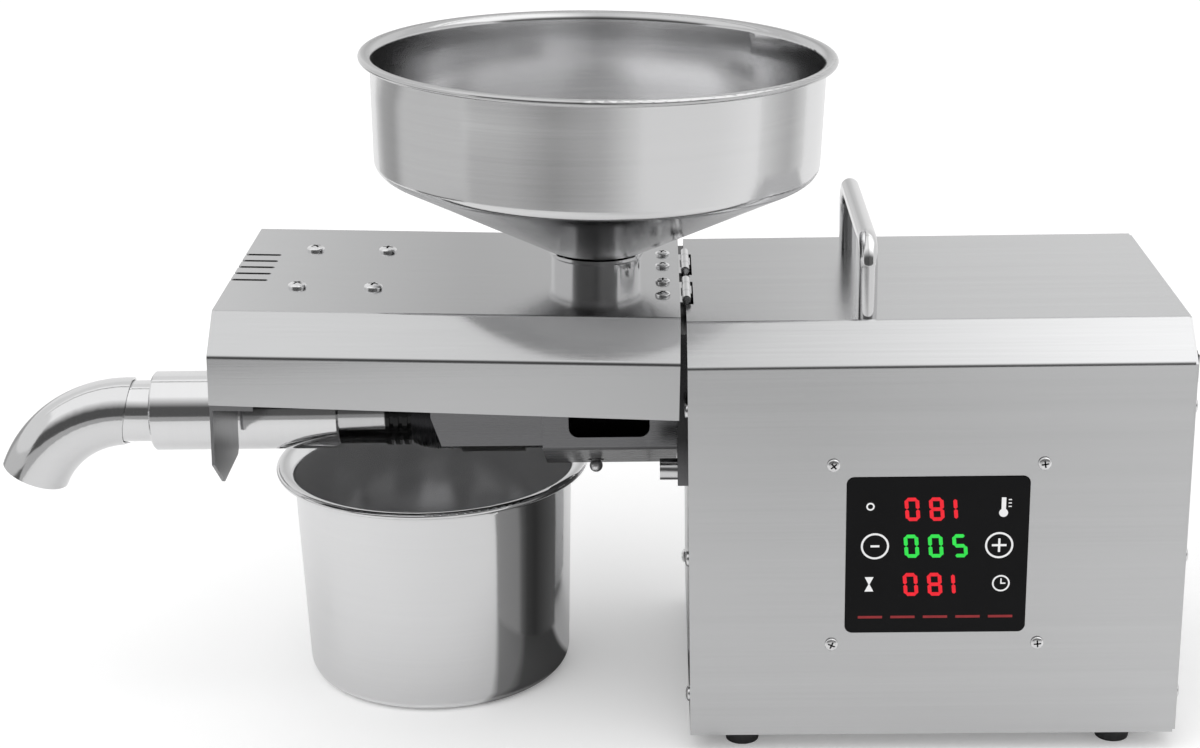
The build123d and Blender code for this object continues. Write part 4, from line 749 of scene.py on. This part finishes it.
glass_half_width = 0.0017
glass_half_height = 0.0030
waist = 0.12
glass_outline = ((-1, -1), (1, -1), (waist, 0), (1, 1), (-1, 1), (-waist, 0))
add_plate(signs, [
    (left_sign_x + i * glass_half_width, lower_z + k * glass_half_height) for i, k in glass_outline
])
printed("panel_signs", signs, white_print_glow)

rule_count = 5
rule_pitch = 0.0126
rule_width = 0.0094
rule_height = 0.0010
rule_z = -0.0257
# The red rule glows by itself: painted light.
red_print_glow = lit("red_print_glow", (0.30, 0.020, 0.024, 1), (0.22, 0.014, 0.018, 1))
rule = bmesh.new()
for number in range(rule_count):
    add_stroke(rule, (number - (rule_count - 1) / 2) * rule_pitch, rule_z, rule_width, rule_height)
printed("panel_rule", rule, red_print_glow)

# Carrying handle: a bright steel rod, bent to a bow with two round corners,
# and screwed to the casing top from inside.
handle_steel = steel(
    "handle_steel", (0.75, 0.75, 0.755), 0.11, no_grain, streak=0.03, cloud=0.02, relief=0.006
)
dress("carry_handle", handle_steel)
dress("handle_screws", screw_steel)

# Flange and press head: a steel plate bolted through to the gearbox, carrying a blackened barrel
# with a heater band, a temperature probe and the bush that the worm turns in.
around_x = (1500.0, 7.0, 7.0)
dark_steel = steel("dark_steel", (0.030, 0.030, 0.032), 0.26, around_x, streak=0.2, cloud=0.1, metallic=0.85)
# The flange is painted nearly black, and blacker over its upper part, as painted shade for the dark gap
# between cover and casing.
flange_shade_from = 0.108
flange_fade = 0.02
flange_shade_steel = steel(
    "flange_shade_steel", (0.17, 0.17, 0.175), 0.26, along_y, streak=0.15, cloud=0.05,
    other=(lambda place: ((place.part("Z") - flange_shade_from) / flange_fade).held(), 0.22, 1.0),
)
# The heater band is painted dark as painted shade, so its edge below the splash guards reads as a shadow
# line.
heater_steel = steel("heater_steel", (0.060, 0.059, 0.057), 0.42, around_x, streak=0.15)
bolt_steel = steel("bolt_steel", (0.72, 0.72, 0.725), 0.14, around_x, streak=0.06, relief=0.02)
dress("flange_plate", flange_shade_steel)
dress("flange_bolts", bolt_steel)
dress("press_chamber", dark_steel)
dress("heater_band", heater_steel)
dress("temperature_probe", drive_steel)
dress("worm_bush", bush_bronze)

# Oil cage, outlet sleeve and elbow: a turned steel cage with open ribs, held by a turned sleeve,
# and a bent bright tube on the sleeve's end.
sleeve_steel = steel(
    "sleeve_steel", (0.80, 0.80, 0.805), 0.11, around_x, streak=0.05, cloud=0.02, relief=0.015
)
ribs_from = -0.0771
neck_from = -0.0777
neck_drop = 0.0035
neck_fade = 0.0012
cage_low, cage_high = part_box("oil_cage")
neck_shade_below = (cage_low.z + cage_high.z) / 2 - neck_drop


def ribs_and_neck_shade(place):
    """The black ribs, and the neck's underside, which is painted dark as a painted reflection of the dark
    below it.
    """
    ribs = ((place.part("X") - neck_from) / (ribs_from - neck_from)).held()
    under = ((neck_shade_below - place.part("Z")) / neck_fade).held()
    return ribs + (1 - ribs) * under


cage_steel = steel(
    "cage_steel", (0.62, 0.62, 0.625), 0.13, around_x, streak=0.08, relief=0.02, other=(ribs_and_neck_shade, 0.04, 1.0)
)
dress("oil_cage", cage_steel)
dress("outlet_sleeve", sleeve_steel)
dress("outlet_elbow", handle_steel)

# Drip trough, splash guards and lock pin: plain sheet steel, cut and folded to hang under the barrel,
# painted darker and not metallic on its sloping underside as painted shade, with a ball-ended pin.
trough_fold = 0.1156
slope_run = 0.0008
# Below the fold the sheet is painted darker and matt: painted shade on the underside.
trough_steel = steel(
    "trough_steel", (0.19, 0.19, 0.195), 0.27, along_x, streak=0.12, relief=0.03,
    other=(lambda place: ((trough_fold - place.part("Z")) / slope_run).held(), 0.62, 0.0),
)
dress("drip_trough", trough_steel)
dress("splash_guards", trough_steel)
pin_steel = steel("pin_steel", (0.82, 0.82, 0.825), 0.34, no_grain, streak=0.04, relief=0.01)
dress("lock_pin", pin_steel)

# Head cover: a folded stainless hood with a forked end plate, on two hinges at the casing's edge.
# Inside it a saddle rests on the sleeve.
along_z = (1300.0, 1300.0, 9.0)
cover_steel = steel("cover_steel", casing_tone, 0.14, along_x, streak=0.05, cloud=0.02, relief=0.012)
fork_steel = steel("fork_steel", (0.22, 0.22, 0.225), 0.30, along_z, streak=0.06, cloud=0.03, relief=0.006)
dress("cover_shell", cover_steel)
dress("cover_end_plate", fork_steel)
dress("rest_saddle", trough_steel)
for node in ("hinge_fixed_leaves", "hinge_cover_leaves", "hinge_pins"):
    dress(node, bolt_steel)

# Screws: bright pan heads with a cross recess, in the casing's ends, round the panel, in the hinges
# and in the cover's top. Each is turned to where it happened to stop.
screw_group, given = recipe("pan_screw", (
    ("Head Radius", "NodeSocketFloat"), ("Shank Radius", "NodeSocketFloat"), ("Length", "NodeSocketFloat"),
    ("Rise", "NodeSocketFloat"), ("Recess", "NodeSocketFloat"), ("Seed", "NodeSocketInt"),
    ("Finish", "NodeSocketMaterial"), ("Recess Shade", "NodeSocketMaterial"),
))
tree = Wire(screw_group)
rows = 21
columns = 41
tip_share = 0.1
shank_share = 0.3
under_share = 0.4
rim_share = 0.5
rim_rise = 0.33
seam_gap = 1e-6
slot_width = 0.42
slot_depth = 1.3
sheet = tree.add(
    "GeometryNodeMeshGrid", sockets={"Size X": 1.0, "Size Y": 1.0, "Vertices X": rows, "Vertices Y": columns}
)
corner = tree.add("GeometryNodeInputPosition")
along = corner.part("X") + 0.5
around = (corner.part("Y") + 0.5) * (-2 * math.pi)
to_shank = (along / tip_share).held()
up_shank = ((along - tip_share) / (shank_share - tip_share)).held()
to_head = ((along - shank_share) / (under_share - shank_share)).held()
up_rim = ((along - under_share) / (rim_share - under_share)).held()
dome = ((along - rim_share) / (1 - rim_share)).held() * (math.pi / 2)
head, shank, rise = given["Head Radius"], given["Shank Radius"], given["Rise"]
radius = shank * to_shank + (head - shank) * to_head - head * (1 - tree.maths("COSINE", dome))
head_height = rise * rim_rise * up_rim + rise * (1 - rim_rise) * tree.maths("SINE", dome)
height = given["Length"] * (up_shank - 1) + head_height
turned = tree.add("ShaderNodeCombineXYZ", sockets={
    0: radius * tree.maths("COSINE", around), 1: radius * tree.maths("SINE", around), 2: height,
})
skin = tree.add("GeometryNodeSetPosition", sockets={"Geometry": sheet, "Position": turned})
solid = tree.add("GeometryNodeMergeByDistance", sockets={"Geometry": skin, "Distance": seam_gap})
cutters = []
for long_way in (0, 1):
    size = tree.add("ShaderNodeCombineXYZ", sockets={
        long_way: given["Recess"] * 2, 1 - long_way: given["Recess"] * slot_width,
        2: given["Recess"] * slot_depth,
    })
    block = tree.add("GeometryNodeMeshCube", sockets={"Size": size})
    lifted = tree.add("ShaderNodeCombineXYZ", sockets={2: rise})
    moved = tree.add("GeometryNodeTransform", sockets={"Geometry": block, "Translation": lifted})
    cutters.append(
        tree.add("GeometryNodeSetMaterial", sockets={"Geometry": moved, "Material": given["Recess Shade"]})
    )
cut = tree.add("GeometryNodeMeshBoolean", {"operation": "DIFFERENCE"}, {"Mesh 1": solid, "Mesh 2": cutters})
chance = tree.add(
    "FunctionNodeRandomValue", {"data_type": "FLOAT"}, {2: 0.0, 3: math.pi / 2, 8: given["Seed"]}, out=1
)
spin = tree.add("FunctionNodeAxisAngleToRotation", sockets={"Axis": (0, 0, 1), "Angle": chance})
outward = tree.add("GeometryNodeInputNamedAttribute", {"data_type": "FLOAT_VECTOR"}, {"Name": "outward"})
faced = tree.add("FunctionNodeAlignRotationToVector", {"axis": "Z"}, {"Rotation": spin, "Vector": outward})
driven = tree.add(
    "GeometryNodeInstanceOnPoints", sockets={"Points": given["Geometry"], "Instance": cut, "Rotation": faced}
)
real = tree.add("GeometryNodeRealizeInstances", sockets={"Geometry": driven})
smooth = tree.add("GeometryNodeSetShadeSmooth", sockets={"Geometry": real})
recessed = tree.add("GeometryNodeMaterialSelection", sockets={"Material": given["Recess Shade"]})
outside = tree.add("FunctionNodeBooleanMath", {"operation": "NOT"}, {0: recessed})
painted = tree.add(
    "GeometryNodeSetMaterial", sockets={"Geometry": smooth, "Selection": outside, "Material": given["Finish"]}
)
tree.add("NodeGroupOutput", sockets={0: painted})


def solids_of(node):
    """The separate solids of a node, each as a list of points, from left to right."""
    shape = bmesh.new()
    shape.from_mesh(frame["nodes"][node].data)
    bmesh.ops.remove_doubles(shape, verts=shape.verts, dist=weld_distance)
    left = set(shape.verts)
    solids = []
    while left:
        waiting = [left.pop()]
        points = []
        while waiting:
            vert = waiting.pop()
            points.append(vert.co.copy())
            joined = {edge.other_vert(vert) for edge in vert.link_edges} & left
            left -= joined
            waiting += joined
        solids.append(points)
    shape.free()
    return sorted(solids, key=lambda points: [round(min(p[axis] for p in points), 5) for axis in range(3)])


head_steel = steel("head_steel", (0.82, 0.82, 0.825), 0.24, no_grain, streak=0.04, relief=0.01)
# The cross recess is painted nearly black: painted shade inside the recess.
recess_shade_steel = steel("recess_shade_steel", (0.05, 0.05, 0.052), 0.4, no_grain)
recess_share = 0.56
head_edge = 0.97
sharp_screw = math.radians(35)


def screws(node, outward_of, seed):
    """Set a recessed screw where each of a node's screws is, with its sizes."""
    spots, ways = [], []
    for points in solids_of(node):
        low_corner = Vector([min(p[axis] for p in points) for axis in range(3)])
        high_corner = Vector([max(p[axis] for p in points) for axis in range(3)])
        out = outward_of((low_corner + high_corner) / 2)
        side = out.orthogonal().normalized()
        over = out.cross(side)
        levels = [p.dot(out) for p in points]
        axis = Vector()
        for way in (side, over):
            spread = [p.dot(way) for p in points]
            axis += (max(spread) + min(spread)) / 2 * way
        reach = [(p - axis - p.dot(out) * out).length for p in points]
        head_radius = max(reach)
        under = min(level for level, far in zip(levels, reach) if far > head_radius * head_edge)
        tip = min(levels)
        shank_radius = max(far for level, far in zip(levels, reach) if level < tip + weld_distance)
        spots.append(axis + under * out)
        ways.append(out)
    piece = set_out(f"{node}_finish", screw_group, spots, {"outward": ways}, {
        "Head Radius": head_radius, "Shank Radius": shank_radius, "Length": under - tip,
        "Rise": max(levels) - under, "Recess": head_radius * recess_share, "Seed": seed,
        "Finish": head_steel, "Recess Shade": recess_shade_steel,
    })
    piece.data.set_sharp_from_angle(angle=sharp_screw)
    stands_for(piece, node)


cover_lean = math.radians(1.7)
cover_up = Vector((math.sin(cover_lean), 0, math.cos(cover_lean)))
casing_middle = sum(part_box("casing_wrap"), Vector()) / 2
screws("casing_screws", lambda middle: Vector((math.copysign(1, middle.x - casing_middle.x), 0, 0)), 3)
screws("panel_screws", lambda middle: Vector((0, -1, 0)), 7)
screws("cover_screws", lambda middle: cover_up, 11)
screws("hinge_screws", lambda middle: cover_up, 5)

# Hopper: a bowl spun from stainless sheet, with a rolled lip round its drum and a cone under it.
# Its spigot stands in a collar on the cover, upright to the cover's top.
around_z = (7.0, 7.0, 1500.0)
drum_depth = 0.0475
lip_depth = 0.0032
cone_fade = 0.008
lip_fade = 0.001
lip_share = 0.7
hopper_top = max(vert.co.dot(cover_up) for vert in frame["nodes"]["hopper_bowl"].data.vertices)


def cone_shade_and_lip(place):
    """The cone under the drum is painted darker than the drum, as painted shade; the rolled lip above it is
    darker too.
    """
    level = place.add(
        "ShaderNodeVectorMath", {"operation": "DOT_PRODUCT"}, {0: place, 1: cover_up}, out="Value"
    )
    cone = ((hopper_top - drum_depth - level) / cone_fade).held()
    lip = ((level - (hopper_top - lip_depth)) / lip_fade).held()
    return cone + lip_share * lip


hopper_steel = steel(
    "hopper_steel", (0.76, 0.76, 0.765), 0.14, around_z, streak=0.06, cloud=0.02, relief=0.008,
    other=(cone_shade_and_lip, 0.66, 1.0),
)
dress("hopper_collar", handle_steel, flat_faces=False)
dress("hopper_bowl", hopper_steel, crease=50, flat_faces=False)

# Oil pot: drawn from stainless sheet, bright outside, with a flared lip; inside it is painted lighter and
# less metallic, as painted light.
# It stands loose on the floor under the cage.
pot_foot_radius = 0.0551
pot_flare = 0.0030
pot_depth = 0.0918
skin_fade = 0.0002


def inside_pot_lightened(place):
    """The inner skin, by the distance from the pot's axis."""
    across = place.part("X") - pot_x
    along = place.part("Y") - pot_y
    radius = place.maths("SQRT", across * across + along * along)
    inner_radius = pot_foot_radius + place.part("Z") * (pot_flare / pot_depth)
    return ((inner_radius - radius) / skin_fade).held()


# The inner skin is painted lighter and partly matt: painted light in the pot's deep hollow.
pot_steel = steel(
    "pot_steel", (0.79, 0.79, 0.795), 0.11, around_z, streak=0.04, cloud=0.02, relief=0.004,
    other=(inside_pot_lightened, 1.15, 0.76),
)
dress("oil_pot", pot_steel, flat_faces=False)
